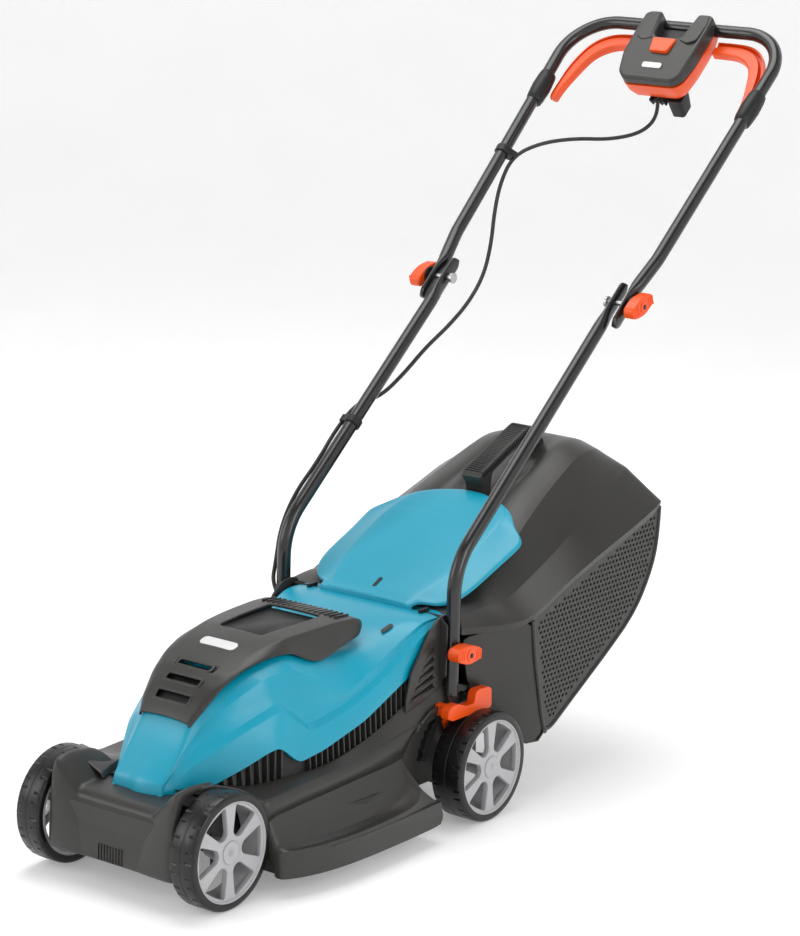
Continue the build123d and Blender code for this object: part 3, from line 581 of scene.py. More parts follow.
# ---------------------------------------------------------------- hood
# Feature lines of the hood's right half: (y, x, z), front to back.
HOOD_EDGE = [
    (-602, 40, 129), (-588, 52, 130), (-565, 66, 133), (-540, 80, 138), (-502, 100, 156), (-474, 113, 171),
    (-462, 118, 175), (-453, 119, 173), (-424, 125, 148), (-379, 130, 156), (-296, 132, 176), (-209, 133,
    213),
    (-178, 133, 226), (-155, 132, 250), (-131, 131, 266), (-104, 130, 272),
]
HOOD_FOLD_LOW = [
    (-602, 41, 135), (-588, 45, 143), (-565, 59, 162), (-527, 81, 187), (-486, 96, 206), (-448, 107, 219),
    (-438, 109, 216), (-397, 118, 185), (-386, 119, 184), (-346, 121, 191), (-307, 124, 200), (-255, 126,
    221),
    (-202, 128, 249), (-160, 130, 272), (-131, 130, 275), (-104, 130, 277),
]
HOOD_FOLD_HIGH = [
    (-602, 41, 137), (-588, 43, 147), (-565, 55, 168), (-527, 78, 193), (-486, 92, 213), (-448, 103, 228),
    (-436, 105, 226), (-397, 114, 193), (-386, 115, 191), (-346, 118, 197), (-307, 121, 206), (-255, 123,
    227),
    (-202, 125, 254), (-160, 127, 277), (-131, 128, 279), (-104, 128, 280),
]
HOOD_HUMP = [
    (-602, 40, 139), (-588, 42, 152), (-565, 44, 178), (-534, 48, 207), (-522, 58, 220), (-496, 72, 238),
    (-454, 85, 260), (-415, 92, 266), (-403, 95, 265), (-372, 104, 246), (-332, 114, 220), (-307, 115, 219),
    (-255, 117, 240), (-202, 118, 265), (-160, 122, 283), (-131, 123, 283), (-104, 123, 282),
]
HOOD_TOP = [
    (-602, 39, 141), (-588, 40, 156), (-565, 41, 183), (-546, 41, 212), (-531, 44, 229), (-514, 46, 245),
    (-494, 49, 257), (-460, 54, 272), (-426, 60, 282), (-392, 66, 287), (-340, 70, 278), (-300, 74, 262),
    (-250, 84, 262), (-215, 92, 272), (-190, 96, 280), (-160, 100, 286), (-131, 104, 285), (-104, 110, 284),
]
HOOD_CENTRE = [
    (-602, 141.5), (-588, 158), (-565, 186), (-546, 213), (-531, 231), (-514, 247), (-494, 259), (-460, 274),
    (-426, 284), (-405, 287), (-397, 262), (-385, 254), (-300, 252), (-262, 256), (-240, 270), (-220, 280),
    (-160, 287), (-131, 286), (-104, 284),
]
HOOD_STATIONS = [
    -602, -596, -588, -577, -565, -555, -546, -538, -527, -514, -500, -486, -474, -462, -455, -448, -443,
    -438,
    -432, -422, -410, -403, -397, -391, -382, -372, -356, -340, -322, -307, -290, -272, -255, -238, -220,
    -202, -185, -170, -155,
    -135, -118, -106,
]


def hood_row(y):
    """Points of one cross-section from the right edge over the middle to the left edge."""
    edge = along(HOOD_EDGE, y)
    low = along(HOOD_FOLD_LOW, y)
    high = along(HOOD_FOLD_HIGH, y)
    hump = along(HOOD_HUMP, y)
    top = along(HOOD_TOP, y)
    centre = along(HOOD_CENTRE, y)[0]
    bulge = 1.6
    nose = max(0.0, min(1.0, (-560 - y) / 42.0))
    # the fold grows into a narrow ledge behind the nose
    ledge = 1.0 - nose
    low = (low[0] + 1.0 * ledge, low[1])
    high = (high[0] - 3.0 * ledge, high[1] + 0.5 * ledge)

    def between(a, b, t, out=0.0):
        return (a[0] + (b[0] - a[0]) * t + out, a[1] + (b[1] - a[1]) * t + out * 0.4)

    right = [
        (edge[0] - 5, edge[1]), edge, between(edge, low, 0.5, bulge), low, high, between(high, hump, 0.33,
        -1.4 * ledge),
        between(high, hump, 0.7, 0.2), hump, between(hump, top, 0.5, 0.5), top,
        (top[0] * 0.62, top[1] + (centre - top[1]) * 0.62), (top[0] * 0.3, top[1] + (centre - top[1]) * 0.95),
    ]
    # the front edge is round in plan
    row = [(x, y + nose * 12.0 * min(1.0, (x / 52.0) ** 2) - nose * 4.0, z) for x, z in right]
    row.append((0.0, y - nose * 4.0, centre))
    row += [(-x, y, z) for x, z in reversed(right)]
    return row


def add_hood():
    """Turquoise cover over the motor, folded along the sides."""
    rows = [hood_row(y) for y in HOOD_STATIONS]
    rows.insert(0, [(x, y - 1.0, min(z, 124.0) - 0.001 * z) for x, y, z in rows[0]])
    piece = skin("hood_shell", rows, TURQUOISE, "mower_body")
    sharp = {1: 0.9, 3: 1.0, 4: 1.0, 7: 0.8}
    last = len(rows[0]) - 1

    def amount_at(i, j):
        column = min(j, last - j)
        fade = min(1.0, max(0.0, (rows[i][0][1] + 596) / 50)) if column == 7 else 1.0
        return sharp.get(column, 0) * fade

    crease_columns(piece, rows, amount_at)
    crease_open_edges(piece, 1.0)
    thicken(piece, 3.0, even=False)
    subdivide(piece, 2)
    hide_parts("hood")
    for sign in (1, -1):
        # dark plates on the hood: painted shade standing in for the two slot openings
        slot_hole = round_corners([(-10, -3), (10, -3), (10, 3), (-10, 3)], 3)
        at = (sign * 94, -203, 277.0)
        prism(
            f"hood_slot_shade_{'right' if sign > 0 else 'left'}", slot_hole, 1.2,
            lambda u, v, w: (at[0] + sign * (v + 0.12 * u), at[1] + u, at[2] + w + u * 0.33 - v * 0.35),
            DARK, "mower_body", 0.3,
        )


add_hood()


# ---------------------------------------------------------------- hood cover
COVER_EDGE = [
    (-551, 43, 207), (-535, 52, 227), (-505, 60, 256), (-473, 67, 274), (-433, 76, 284), (-392, 83, 283),
    (-366, 90, 268), (-346, 92, 260), (-320, 90, 264), (-298, 88, 269), (-249, 84, 276), (-238, 78, 284),
]
COVER_CREASE = [
    (-551, 40, 214), (-546, 41, 221), (-531, 45, 239), (-514, 47, 254), (-494, 50, 267), (-460, 56, 282),
    (-430, 61, 292), (-392, 67, 298), (-340, 74, 300), (-283, 77, 301), (-249, 79, 299), (-238, 76, 293),
]
COVER_STATIONS = [
    -551, -546, -541, -537, -533.5, -529, -523, -517, -512.5, -508, -501, -495, -490, -485, -472, -455, -436,
    -416, -408, -401, -390, -370, -346, -320, -300, -290, -284, -276, -262, -250, -242, -238,
]
COVER_COLUMNS = [-1.0, -0.86, -0.66, -0.58, -0.3, 0.0, 0.3, 0.58, 0.66, 0.86, 1.0]


def cover_point(u, y):
    """A point of the grey cover: u runs across its top, from crease to crease."""
    x, z = along(COVER_CREASE, y)
    crown = 3.0 * (1 - u * u)
    return (x * u, y, z + crown)


def add_hood_cover():
    """Grey strip over the hood with three vents, a hand hole and the carry handle behind it."""
    rows = []
    skip = set()
    hole_from, hole_to = -401, -284
    vents = [(-537, -529), (-517, -508), (-495, -485)]
    columns = COVER_COLUMNS
    for i, y in enumerate(COVER_STATIONS):
        edge = along(COVER_EDGE, y)
        crease_x, crease_z = along(COVER_CREASE, y)
        mid = ((edge[0] + crease_x) / 2 + 1.2, (edge[1] + crease_z) / 2 + 1.0)
        row = [(-edge[0], y, edge[1]), (-mid[0], y, mid[1])]
        row += [cover_point(u, y) for u in columns]
        row += [(mid[0], y, mid[1]), (edge[0], y, edge[1])]
        rows.append(row)
        for j, u in enumerate(columns[:-1]):
            cell = (i, j + 2)
            middle_u = (u + columns[j + 1]) / 2
            if hole_from <= y < hole_to and abs(middle_u) < 0.62:
                skip.add(cell)
            if any(low <= y < high for low, high in vents) and abs(middle_u) < 0.7:
                skip.add(cell)
    piece = skin("cover_shell", rows, GREY, "mower_body", skip)
    mesh = piece.data
    layer = mesh.attributes.new("crease_edge", "FLOAT", "EDGE")
    for edge in mesh.edges:
        a, b = (mesh.vertices[i].co / MM for i in edge.vertices)
        on_a = abs(abs(a.x) - along(COVER_CREASE, a.y)[0]) < 0.2
        on_b = abs(abs(b.x) - along(COVER_CREASE, b.y)[0]) < 0.2
        if on_a and on_b and abs(a.x - b.x) < 15:
            layer.data[edge.index].value = 0.55
    crease_open_edges(piece, 0.45)
    thicken(piece, 3.6)
    subdivide(piece, 2)
    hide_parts("hood_cover")
    for index, (low, high) in enumerate(vents):
        mid = (low + high) / 2
        lip = round_corners([(-30, -7.6), (30, -7.6), (30, 7.6), (-30, 7.6)], 5)
        hole = round_corners([(-28, -6.0), (28, -6.0), (28, 6.0), (-28, 6.0)], 4)

        def on_lip(u, v, w):
            x, z = along(COVER_CREASE, mid + v * 0.8)
            return (u, mid + v * 0.8, z + 3.0 * (1 - (u / x) ** 2) + w)

        flat_curve(
            f"cover_vent_lip_{index}", [lip, hole], 2.4, 0.8, on_lip, GREY, "mower_body"
        )
    # dark sheet below the vents: painted shade seen through the vent holes
    vent_shade_rows = [
        [(x, y, along(COVER_CREASE, y)[1] - 6) for x in (-36, 0, 36)]
        for y in (-541, -520, -500, -481)
    ]
    skin("vent_shade_sheet", vent_shade_rows, DARK, "mower_body")
    # dark closed box in the hand hole: painted shade of the pocket under the carry handle
    bowl = []
    for grow, height in ((0, 297), (1.5, 292), (1, 270), (-2, 262), (-20, 260)):
        outline = round_corners([(-46 - grow, -402 - grow), (46 + grow, -402 - grow), (46 + grow, -283 + grow),
                                 (-46 - grow, -283 + grow)], 8)
        bowl.append([(x, y, height) for x, y in outline])
    skin("hand_hole_shade", bowl, DARK, "mower_body", wrap=True, caps=True)
    for index in range(15):
        x = -63 + 9 * index
        prism(
            f"grip_rib_cover_{index}", [(-279, 300.5), (-250, 298.5), (-250, 302.3), (-279, 304.8)], 3.0,
            lambda u, v, w: (x + w - 1.5, u, v), GREY, "mower_body", 0.8, 2,
        )
    badge = round_corners([(-29, -7.2), (29, -7.2), (29, 7.2), (-29, 7.2)], 7)

    def on_cover(u, v, w):
        y = -443 + v
        x, z = along(COVER_CREASE, y)
        return (u, y, z + 3.0 * (1 - (u / x) ** 2) + w - 0.3)

    plate = flat_curve("cover_badge", [badge], 2.4, 0.7, on_cover, BADGE, "mower_body")
    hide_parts("hood_badge")


add_hood_cover()


# ---------------------------------------------------------------- deck
NOSE_COLUMNS = [
    # x at the foot, x at the top, top edge z, forward reach, rear end (y, z)
    (0, 0, 127, 0.0, -560, 132), (26, 38, 127, 0.6, -560, 132), (43, 64, 127.5, 0.0, -560, 133),
    (46, 68, 128.5, 0.0, -560, 134), (60, 78, 139, -2.2, -560, 143), (78, 91, 151, -3.8, -560, 150),
    (94, 100, 159, -4.6, -570, 157), (103, 105.5, 161, -3.4, -576, 158), (107, 107.6, 158, 0.5, -578, 155),
    (108.4, 108.4, 150, 6.0, -582, 150),
]


NOSE_LEVELS = (0, 0.08, 0.28, 0.5, 0.72, 0.9)


def add_nose():
    """Front of the deck between the wheels: a pillowed middle panel between two cheeks over the wheels."""
    half = []
    for foot_x, top_x, top_z, reach, rear_y, rear_z in NOSE_COLUMNS:
        column = [(foot_x, -640, 40), (foot_x, -651.5 + reach, 41)]
        for t in NOSE_LEVELS[1:]:
            x = foot_x + (top_x - foot_x) * t
            column.append((x, -652.5 + 11 * t * t + reach, 41 + (top_z - 41) * t))
        for back, drop in ((3, 4.5), (9, 0.8), (18, -0.5), (34, -1.5)):
            column.append((top_x, -641.5 + reach + back, top_z - drop))
        column.append((min(top_x, 108.4), rear_y, rear_z))
        half.append(column)
    rows = [[(-x, y, z) for x, y, z in column] for column in reversed(half[1:])] + half
    piece = skin("nose_shell", rows, GREY, "mower_body")

    def on_fold(p):
        return any(
            abs(abs(p.x) - (46 + 22 * t)) < 0.3 and abs(p.z - (41 + 87.5 * t)) < 0.6 for t in NOSE_LEVELS
        )

    crease(piece, lambda a, b: on_fold(a) and on_fold(b), 0.9)
    thicken(piece, 3.0)
    subdivide(piece, 2)
    for index in range(9):
        x = index * 5.0 - 21
        rib = [(-651, 44), (-653.4, 44), (-653.0, 66), (-650.5, 66)]
        prism(
            f"nose_rib_{index}", rib, 1.8, lambda u, v, w: (x + w, u, v), GREY, "mower_body",
            0.4, 2
        )


add_nose()

DECK_LINE = [
    (-600, 108, 157), (-590, 113, 158), (-579, 123, 157), (-557, 139, 150), (-540, 147, 138), (-528, 150,
    129),
    (-505, 150, 127), (-460, 150, 129), (-393, 150, 131), (-339, 150, 134), (-250, 150, 146), (-159, 150,
    159),
    (-119, 150, 176),
]
SHELF_STATIONS = [
    -602, -595, -587, -579, -568, -557, -548, -540, -534, -528, -520, -505, -480, -462, -450, -438, -420,
    -393,
    -360, -339, -300, -270, -240, -215, -190, -159, -140, -119,
]


FIN_FOOT = [
    (-602, 62, 138), (-560, 74, 141), (-523, 91, 136), (-509, 98.5, 132), (-481, 112, 132.5), (-448, 120,
    134),
    (-428, 126, 135), (-379, 131, 135), (-329, 133, 144), (-286, 134, 153), (-240, 134, 168), (-200, 134,
    185),
    (-186, 134, 190), (-150, 136, 197), (-119, 138, 203),
]


def add_shelf(side, sign):
    """Top of the deck between the fins' feet and the side wall, turned down along its outer line."""
    rows = []
    for y in SHELF_STATIONS:
        foot_x, foot_z = along(FIN_FOOT, y)
        line_x, line_z = along(DECK_LINE, y)
        foot_x = min(foot_x, line_x - 7)
        rows.append([
            (sign * (foot_x - 6), y, foot_z - 8),
            (sign * (foot_x - 1), y, foot_z - 1),
            (sign * foot_x, y, foot_z),
            (sign * (foot_x * 0.5 + line_x * 0.5), y, foot_z * 0.5 + line_z * 0.5),
            (sign * (line_x - 1.2), y, line_z + 0.6),
            (sign * line_x, y, line_z - 1.0),
            (sign * (line_x + 0.2), y, line_z - 9),
        ])
    piece = skin(f"deck_shelf_{side}", rows, GREY, "mower_body")
    crease_columns(piece, rows, lambda i, j: {2: 0.7, 4: 0.8, 5: 0.5}.get(j, 0))
    thicken(piece, 2.5)
    subdivide(piece, 2)


WALL_ROWS = [
    (-527, 129, 98), (-505, 127, 99), (-460, 129, 101), (-393, 131, 104), (-339, 134, 106), (-280, 142, 109),
    (-238, 148, 110), (-227, 149, 124), (-215, 151, 140), (-206, 152, 150), (-190, 154, 159), (-177, 157,
    166),
    (-159, 159, 169), (-119, 176, 172),
]
SKIRT_ROWS = [
    (-519, (151, 92), (156, 80), (163, 68), (171, 63), (173, 40), (173, 26)),
    (-512, (152, 99), (158, 84), (166, 67), (177, 63), (179, 42), (180, 26)),
    (-486, (152, 100), (160, 82), (174, 61), (190, 63), (192, 42), (193, 26)),
    (-440, (152, 102), (163, 80), (179, 60), (199, 63), (203, 42), (204, 26)),
    (-380, (151, 104), (164, 82), (181, 60), (204, 63), (207, 42), (208, 26)),
    (-310, (151, 107), (163, 86), (180, 62), (203, 64), (207, 42), (208, 26)),
    (-275, (150, 109), (160, 94), (177, 74), (200, 65), (206, 42), (207.6, 26)),
    (-250, (150, 111), (157, 103), (169, 88), (195, 70), (204, 44), (206.6, 26)),
    (-238, (150, 112), (155, 106), (165, 97), (190, 79), (202, 48), (206, 26)),
    (-212, (150, 113), (155, 108), (166, 98), (192, 76), (201, 50), (205, 26)),
]


def add_sides(side, sign):
    """Side wall, scooped skirt and its diagonal rear end."""
    rows = []
    for y, top, bottom in WALL_ROWS:
        rows.append(
            [(sign * 150.2, y, top), (sign * 150.6, y, (top + bottom) / 2), (sign * 150.8, y, bottom)]
        )
    wall = skin(f"deck_wall_{side}", rows, GREY, "mower_body")
    thicken(wall, 2.0)
    rows = []
    for y, *points in SKIRT_ROWS:
        rows.append([(sign * 150.4, y, points[0][1] + 4)] + [(sign * x, y, z) for x, z in points])
    # the rear end slants back towards the wheel as it goes down
    slant = [(-236, 0), (-238, 0), (-238, 1), (-240, 2), (-241, 3), (-205, 4), (-211, 5)]
    rows[-1] = [(point[0], slant[i][0], point[2]) for i, point in enumerate(rows[-1])]
    rows[-2] = [(p[0], min(p[1], q[1] - 6), p[2]) for p, q in zip(rows[-2], rows[-1])]
    front = [(sign * 150.4, -518, 60)]
    front += [
        (sign * x, -518, z) for x, z in ((151, 60), (153, 56), (157, 50), (160, 46), (162, 36), (162, 26))
    ]
    rows.insert(0, front)
    skirt = skin(f"deck_skirt_{side}", rows, GREY, "mower_body")
    crease_columns(skirt, rows, lambda i, j: {3: 0.3, 4: 1.0}.get(j, 0))
    crease_open_edges(skirt, 0.9)
    thicken(skirt, 3.0)
    subdivide(skirt, 2)


def add_vents(side, sign):
    """Comb of fins between the deck's shelf and the hood, with a dark sheet of painted shade behind them."""
    stations = [y for y in range(-540, -446, 11)] + [y for y in range(-404, -196, 11)]
    for index, y in enumerate(stations):
        hood_x, hood_z = along(HOOD_EDGE, y)
        foot_x, foot_z = along(FIN_FOOT, y)
        outline = [
            (foot_x - 0.5, foot_z - 4), (foot_x - 1.0, foot_z), (hood_x - 1.5, hood_z + 1),
            (hood_x - 9, hood_z + 2), (hood_x - 9, hood_z - 8), (foot_x - 9, foot_z - 6),
        ]
        prism(
            f"vent_fin_{side}_{index}", outline, 2.6, lambda u, v, w: (sign * u, y + w - 1.3, v),
            GREY, "mower_body", 0.5, 2,
        )
    # dark sheet behind the fins: painted shade of the recessed vent band, seen in the gaps between the fins
    rows = []
    for y in (-585, -560, -540, -520, -500, -480, -460, -440, -420, -380, -340, -300, -260, -220, -195):
        hood_x, hood_z = along(HOOD_EDGE, y)
        foot_x, foot_z = along(FIN_FOOT, y)
        back = min(hood_x, foot_x) - 8
        rows.append(
            [(sign * back, y, hood_z + 4), (sign * back, y, foot_z - 2), (sign * (foot_x - 3), y, foot_z - 7)]
        )
    skin(f"vent_back_shade_{side}", rows, DARK, "mower_body")


def add_louvre(side, sign):
    """Louvred bracket beside the lower tube."""
    outline = [
        (-204, 225), (-186, 246), (-169, 267), (-160, 277), (-146, 288), (-129, 290), (-112, 288), (-109,
        177),
        (-132, 175), (-193, 175), (-216, 168), (-216, 188),
    ]
    holes = []
    for step in range(5):
        low = 180 + 13 * step
        front = -206 + 8.2 * step
        holes.append(
            round_corners([(front, low + 1), (front + 1, low + 8), (-156, low + 20), (-156, low + 12)], 2.0)
        )
    plate = flat_curve(
        f"louvre_plate_{side}", [round_corners(outline, 6)] + holes, 4.0, 0.8,
        lambda u, v, w: (sign * (138.5 + w), u, v), GREY, "mower_body",
    )
    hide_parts(f"louvre_{side}")
    for step in range(5):
        low = 180 + 13 * step
        front = -206 + 8.2 * step
        blade = [(0, -5), (5.5, -8), (5.5, -6.6), (0.5, -3.4)]
        rows = []
        for y, z in ((front - 1, low + 9), (-155, low + 21)):
            rows.append([(sign * (136 + du), y, z + dz) for du, dz in blade])
        skin(f"louvre_blade_{side}_{step}", rows, GREY, "mower_body", wrap=True, caps=True)
    for index, y in enumerate((LOWER_TUBE_Y - 15, LOWER_TUBE_Y + 13)):
        rib = round_corners([(140, 200), (152, 206), (152, 280), (140, 289)], 4)
        prism(
            f"louvre_flange_{side}_{index}", rib, 3.0, lambda u, v, w: (sign * u, y + w - 1.5, v),
            GREY, "mower_body", 0.8, 2,
        )
    # dark plate behind the louvre: painted shade seen through its openings
    shade_plate_outline = [(-212, 172), (-212, 190), (-176, 250), (-160, 272), (-112, 282), (-112, 180)]
    prism(
        f"louvre_shade_plate_{side}", shade_plate_outline, 1.5, lambda u, v, w: (sign * (133 - w), u, v),
        DARK, "mower_body", 0,
    )


def add_arch(side, sign):
    """Toothed arch over the rear wheel, where the height lever clicks."""
    outline = []
    for step in range(25):
        angle = math.radians(168 - step * 4.0)
        tooth = 93.5 if step % 2 else 97.0
        outline.append((-99 + tooth * math.cos(angle), 77.5 + tooth * math.sin(angle)))
    back = [
        (-99 + 84 * math.cos(math.radians(72 + step * 8)), 77.5 + 84 * math.sin(math.radians(72 + step * 8)))
        for step in range(13)
    ]
    prism(
        f"detent_arch_{side}", outline + back, 9.0, lambda u, v, w: (sign * (142 + w), u, v),
        DARK, "mower_body", 0.6, 2,
    )


for SIDE, SIGN in (("right", 1), ("left", -1)):
    add_shelf(SIDE, SIGN)
    add_sides(SIDE, SIGN)
    add_vents(SIDE, SIGN)
    add_louvre(SIDE, SIGN)
    add_arch(SIDE, SIGN)

# ---------------------------------------------------------------- rear flap
FLAP_ROWS = [
    # y, half width, edge z, middle z, half width of the raised middle
    (-131.5, 80, 283, 283, 74), (-132, 80.5, 286, 287, 74), (-131, 80.5, 293, 294.5, 74), (-122, 82, 295,
    297, 75),
    (-113, 88, 295, 300, 77), (-103, 104, 292, 305, 80), (-92, 119, 296, 310, 84), (-77, 130, 304, 317, 90),
    (-46, 135, 318, 331, 96), (-1, 135, 335, 351, 98), (40, 138, 352, 371, 96), (52, 137, 359, 375, 94),
    (60, 122, 367, 379, 92), (66, 110, 374, 381, 92), (88, 92, 384, 390, 84), (104, 62, 391, 395, 58),
    (115, 30, 393, 397, 28),
]


def add_flap():
    """Turquoise rear flap: a raised middle between two wings, with a thick lip over the hood's rear edge."""
    rows = []
    for y, half, edge_z, centre_z, middle_half in FLAP_ROWS:
        inner = min(middle_half, half - 2)
        fall = edge_z + (centre_z - edge_z) * 0.35
        right = [
            (half, edge_z - 3.5), (half - 0.6, edge_z), (inner + (half - inner) * 0.45, fall), (inner,
            centre_z - 3.0),
            (inner - 5, centre_z - 0.6), (inner * 0.5, centre_z),
        ]
        row = [(-x, y, z) for x, z in right] + [(0, y, centre_z + 0.4)] + [
            (x, y, z) for x, z in reversed(right)
        ]
        rows.append(row)
    piece = skin("flap_shell", rows, TURQUOISE, "flap")
    crease_columns(piece, rows, lambda i, j: {1: 0.7, 11: 0.7, 3: 0.6, 9: 0.6}.get(j, 0))
    crease(piece, lambda a, b: abs(a.y + 131) < 0.1 and abs(b.y + 131) < 0.1, 0.6)
    crease_open_edges(piece, 0.8)
    thicken(piece, 3.0)
    subdivide(piece, 2)
    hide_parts("rear_flap")
    # dark plate on the flap: painted shade standing in for its slot
    hole = round_corners([(-3, -9), (3, -9), (3, 9), (-3, 9)], 3)
    prism(
        "flap_slot_shade", hole, 1.0, lambda u, v, w: (u, -104 + v, 304.6 + w + v * 0.52), DARK, "flap",
        0.2
    )


add_flap()

# ---------------------------------------------------------------- grass box
LID_ROWS = [
    (-113, (152, 258), (154, 268), (150, 284), (118, 283), (70, 281)),
    (-98, (155, 258), (158, 268), (151, 285), (120, 286), (72, 284)),
    (-57, (174, 256), (177, 266), (151, 290), (118, 298), (74, 300)),
    (-12, (192, 256), (195, 266), (151, 288), (114, 314), (80, 322)),
    (40, (192, 276), (195, 286), (152, 308), (112, 340), (82, 350)),
    (85, (192, 294), (195, 304), (153, 328), (108, 366), (80, 382)),
    (130, (193, 309), (196, 319), (154, 350), (100, 388), (76, 400)),
    (167, (193, 320), (196, 331), (154, 368), (94, 404), (72, 414)),
    (210, (194, 332), (196.5, 343), (150, 386), (88, 422), (70, 430)),
    (260, (194, 347), (197, 358), (144, 404), (84, 442), (64, 452)),
    (300, (194, 360), (197, 371), (138, 418), (84, 444), (62, 452)),
    (322, (191, 366), (194, 378), (130, 420), (84, 436), (60, 444)),
    (334, (180, 364), (182, 376), (124, 404), (80, 418), (58, 424)),
]
LID_CENTRE = [
    (-113, 280), (-57, 300), (-12, 324), (40, 352), (85, 378), (130, 404), (167, 419), (210, 436), (260, 456),
    (300, 455), (322, 447), (334, 426),
]


def add_lid():
    """Lid of the grass box, stepped down to a rim round its sides, dished round the grip."""
    rows = []
    for y, *points in LID_ROWS:
        centre = along(LID_CENTRE, y)[0]
        half = [(points[0][0], points[0][1])] + list(points[1:])
        if -20 < y < 310:
            half[2] = (half[2][0] - 1, half[2][1] - 5)
            half[3] = (half[3][0] + 4, half[3][1] + 1)
        row = [(x, y, z) for x, z in half]
        for x in (50, 36, 22):
            dish = 0.0
            if 45 < y < 272:
                dish = 26.0 * max(0.0, 1 - (x / 52) ** 2) * math.sin(math.pi * (y - 45) / 227) ** 0.7
            row.append((x, y, centre - dish))
        dish = 30.0 * math.sin(math.pi * (y - 45) / 227) ** 0.7 if 45 < y < 272 else 0.0
        row.append((0, y, centre + 0.5 - dish))
        row += [(-x, y, z) for x, y, z in reversed(row[:-1])]
        rows.append(row)
    rows.append([(x, 335.5, z * 0.3 + 364 * 0.7) for x, y, z in rows[-1]])
    rows.append([(x, 335.5, 362 + 0.01 * abs(z - 364)) for x, y, z in rows[-1]])
    piece = skin("lid_shell", rows, GREY, "grass_box")
    last = len(rows[0]) - 1
    crease_columns(piece, rows, lambda i, j: {1: 1.0, 2: 1.0, 3: 0.8}.get(min(j, last - j), 0))
    crease(piece, lambda a, b: abs(a.y - 322) < 0.1 and abs(b.y - 322) < 0.1, 0.4)
    crease_open_edges(piece, 0.9)
    thicken(piece, 3.0, even=False)
    subdivide(piece, 2)
    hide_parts("box_lid")


add_lid()

PANEL = [
    (2, 262), (60, 286), (167, 324), (241, 350), (320, 372), (319, 322), (301, 273), (262, 222), (193, 176),
    (102, 124), (47, 88), (42, 90), (34, 120), (22, 170), (12, 215), (5, 262),
]


def inside(point, loop):
    """Whether a 2-D point lies within a closed loop."""
    hit = False
    for a, b in zip(loop, loop[1:] + loop[:1]):
        if (a[1] > point[1]) != (b[1] > point[1]):
            if point[0] < a[0] + (point[1] - a[1]) / (b[1] - a[1]) * (b[0] - a[0]):
                hit = not hit
    return hit


def edge_distance(point, loop):
    """Distance from a 2-D point to a closed loop."""
    best = 1e9
    p = Vector(point)
    for a, b in zip(loop, loop[1:] + loop[:1]):
        a, b = Vector(a), Vector(b)
        t = max(0.0, min(1.0, (p - a).dot(b - a) / (b - a).length_squared))
        best = min(best, (p - a - (b - a) * t).length)
    return best


MESH_FIELD = [
    (14, 262), (320, 366), (316, 322), (299, 276), (260, 226), (192, 182), (102, 130), (50, 96), (42, 120),
    (30, 170), (20, 215)
]
FACET = [
    (152, -110, 254, -90, 181), (160, -87, 256, -58, 151), (168, -64, 258, -32, 122), (177, -38, 260, -6, 92),
    (184, -16, 261, 14, 78), (190.5, 5, 263, 42, 86),
]


def add_box_side(side, sign):
    """Perforated side of the basket with its plain front corner."""
    outline = PANEL
    pitch = 8.7
    holes = []
    row = 0
    v = 90.0
    while v < 370:
        u = 0.0 + (pitch / 2 if row % 2 else 0.0)
        while u < 325:
            if inside((u, v), MESH_FIELD) and edge_distance((u, v), MESH_FIELD) > 5:
                holes.append(ring(8, 2.9, (u, v), math.pi / 8))
            u += pitch
        v += pitch * 0.866
        row += 1
    plate = flat_curve(
        f"basket_side_{side}", [outline] + holes, 2.6, 0.5, lambda u, v, w: (sign * (189.5 + w), u, v),
        GREY, "grass_box", 0,
    )
    for polygon in plate.data.polygons:
        polygon.use_smooth = False
    # dark plate inside the perforated side: painted shade of the basket's inside, seen through the holes
    prism(
        f"basket_shade_plate_{side}", PANEL, 0.8, lambda u, v, w: (sign * (187.2 + w), u, v), DARK, "grass_box",
        0,
    )
    rows = []
    for x, top_y, top_z, low_y, low_z in FACET:
        row = []
        for t in (0.0, 0.26, 0.5, 0.78, 1.0):
            row.append((sign * x, top_y + (low_y - top_y) * t, top_z + (low_z - top_z) * t))
        rows.append(row)
    piece = skin(f"basket_corner_{side}", rows, GREY, "grass_box")
    crease_open_edges(piece, 1.0)
    thicken(piece, 2.6)
    subdivide(piece, 1)
    # rounded border round the perforated field
    border = [
        (5, 262), (12, 215), (22, 170), (34, 120), (44, 86), (102, 121), (192, 173), (264, 219), (304, 272),
        (321, 321), (322, 370),
    ]
    route = [(sign * 190.5, y, z) for y, z in border]
    tube_piece(f"basket_border_{side}", route, 3.0, GREY, "grass_box")


REAR_PATH = [
    (320, 364), (320, 340), (317, 322), (308, 298), (298, 274), (281, 248), (259, 222), (227, 199), (192,
    177),
    (147, 151), (102, 125), (62, 100), (34, 79), (12, 79), (-6, 92), (-32, 122), (-58, 151), (-90, 181),
]


def add_box_back():
    """Rear, bottom and front of the basket: one bent sheet with square windows at the back."""
    skip = set()
    columns = [-188 + 376 * i / 44 for i in range(45)]
    path = []
    for (ya, za), (yb, zb) in zip(REAR_PATH, REAR_PATH[1:]):
        run = math.hypot(yb - ya, zb - za)
        parts = max(1, round(run / 8.5))
        for step in range(parts):
            t = step / parts
            path.append((ya + (yb - ya) * t, za + (zb - za) * t))
    path.append(REAR_PATH[-1])
    rows = []
    for i, (y, z) in enumerate(path):
        half = min(188.0, 152 + (y + 90) * 0.29)
        rows.append([(x * half / 188, y, z) for x in columns])
        if 2 < i < 30 and i % 2 == 0:
            for j in range(2, 42, 2):
                skip.add((i, j))
    piece = skin("basket_back", rows, GREY, "grass_box", skip)
    for polygon in piece.data.polygons:
        polygon.use_smooth = False
    thicken(piece, 2.5)
    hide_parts("box_basket")


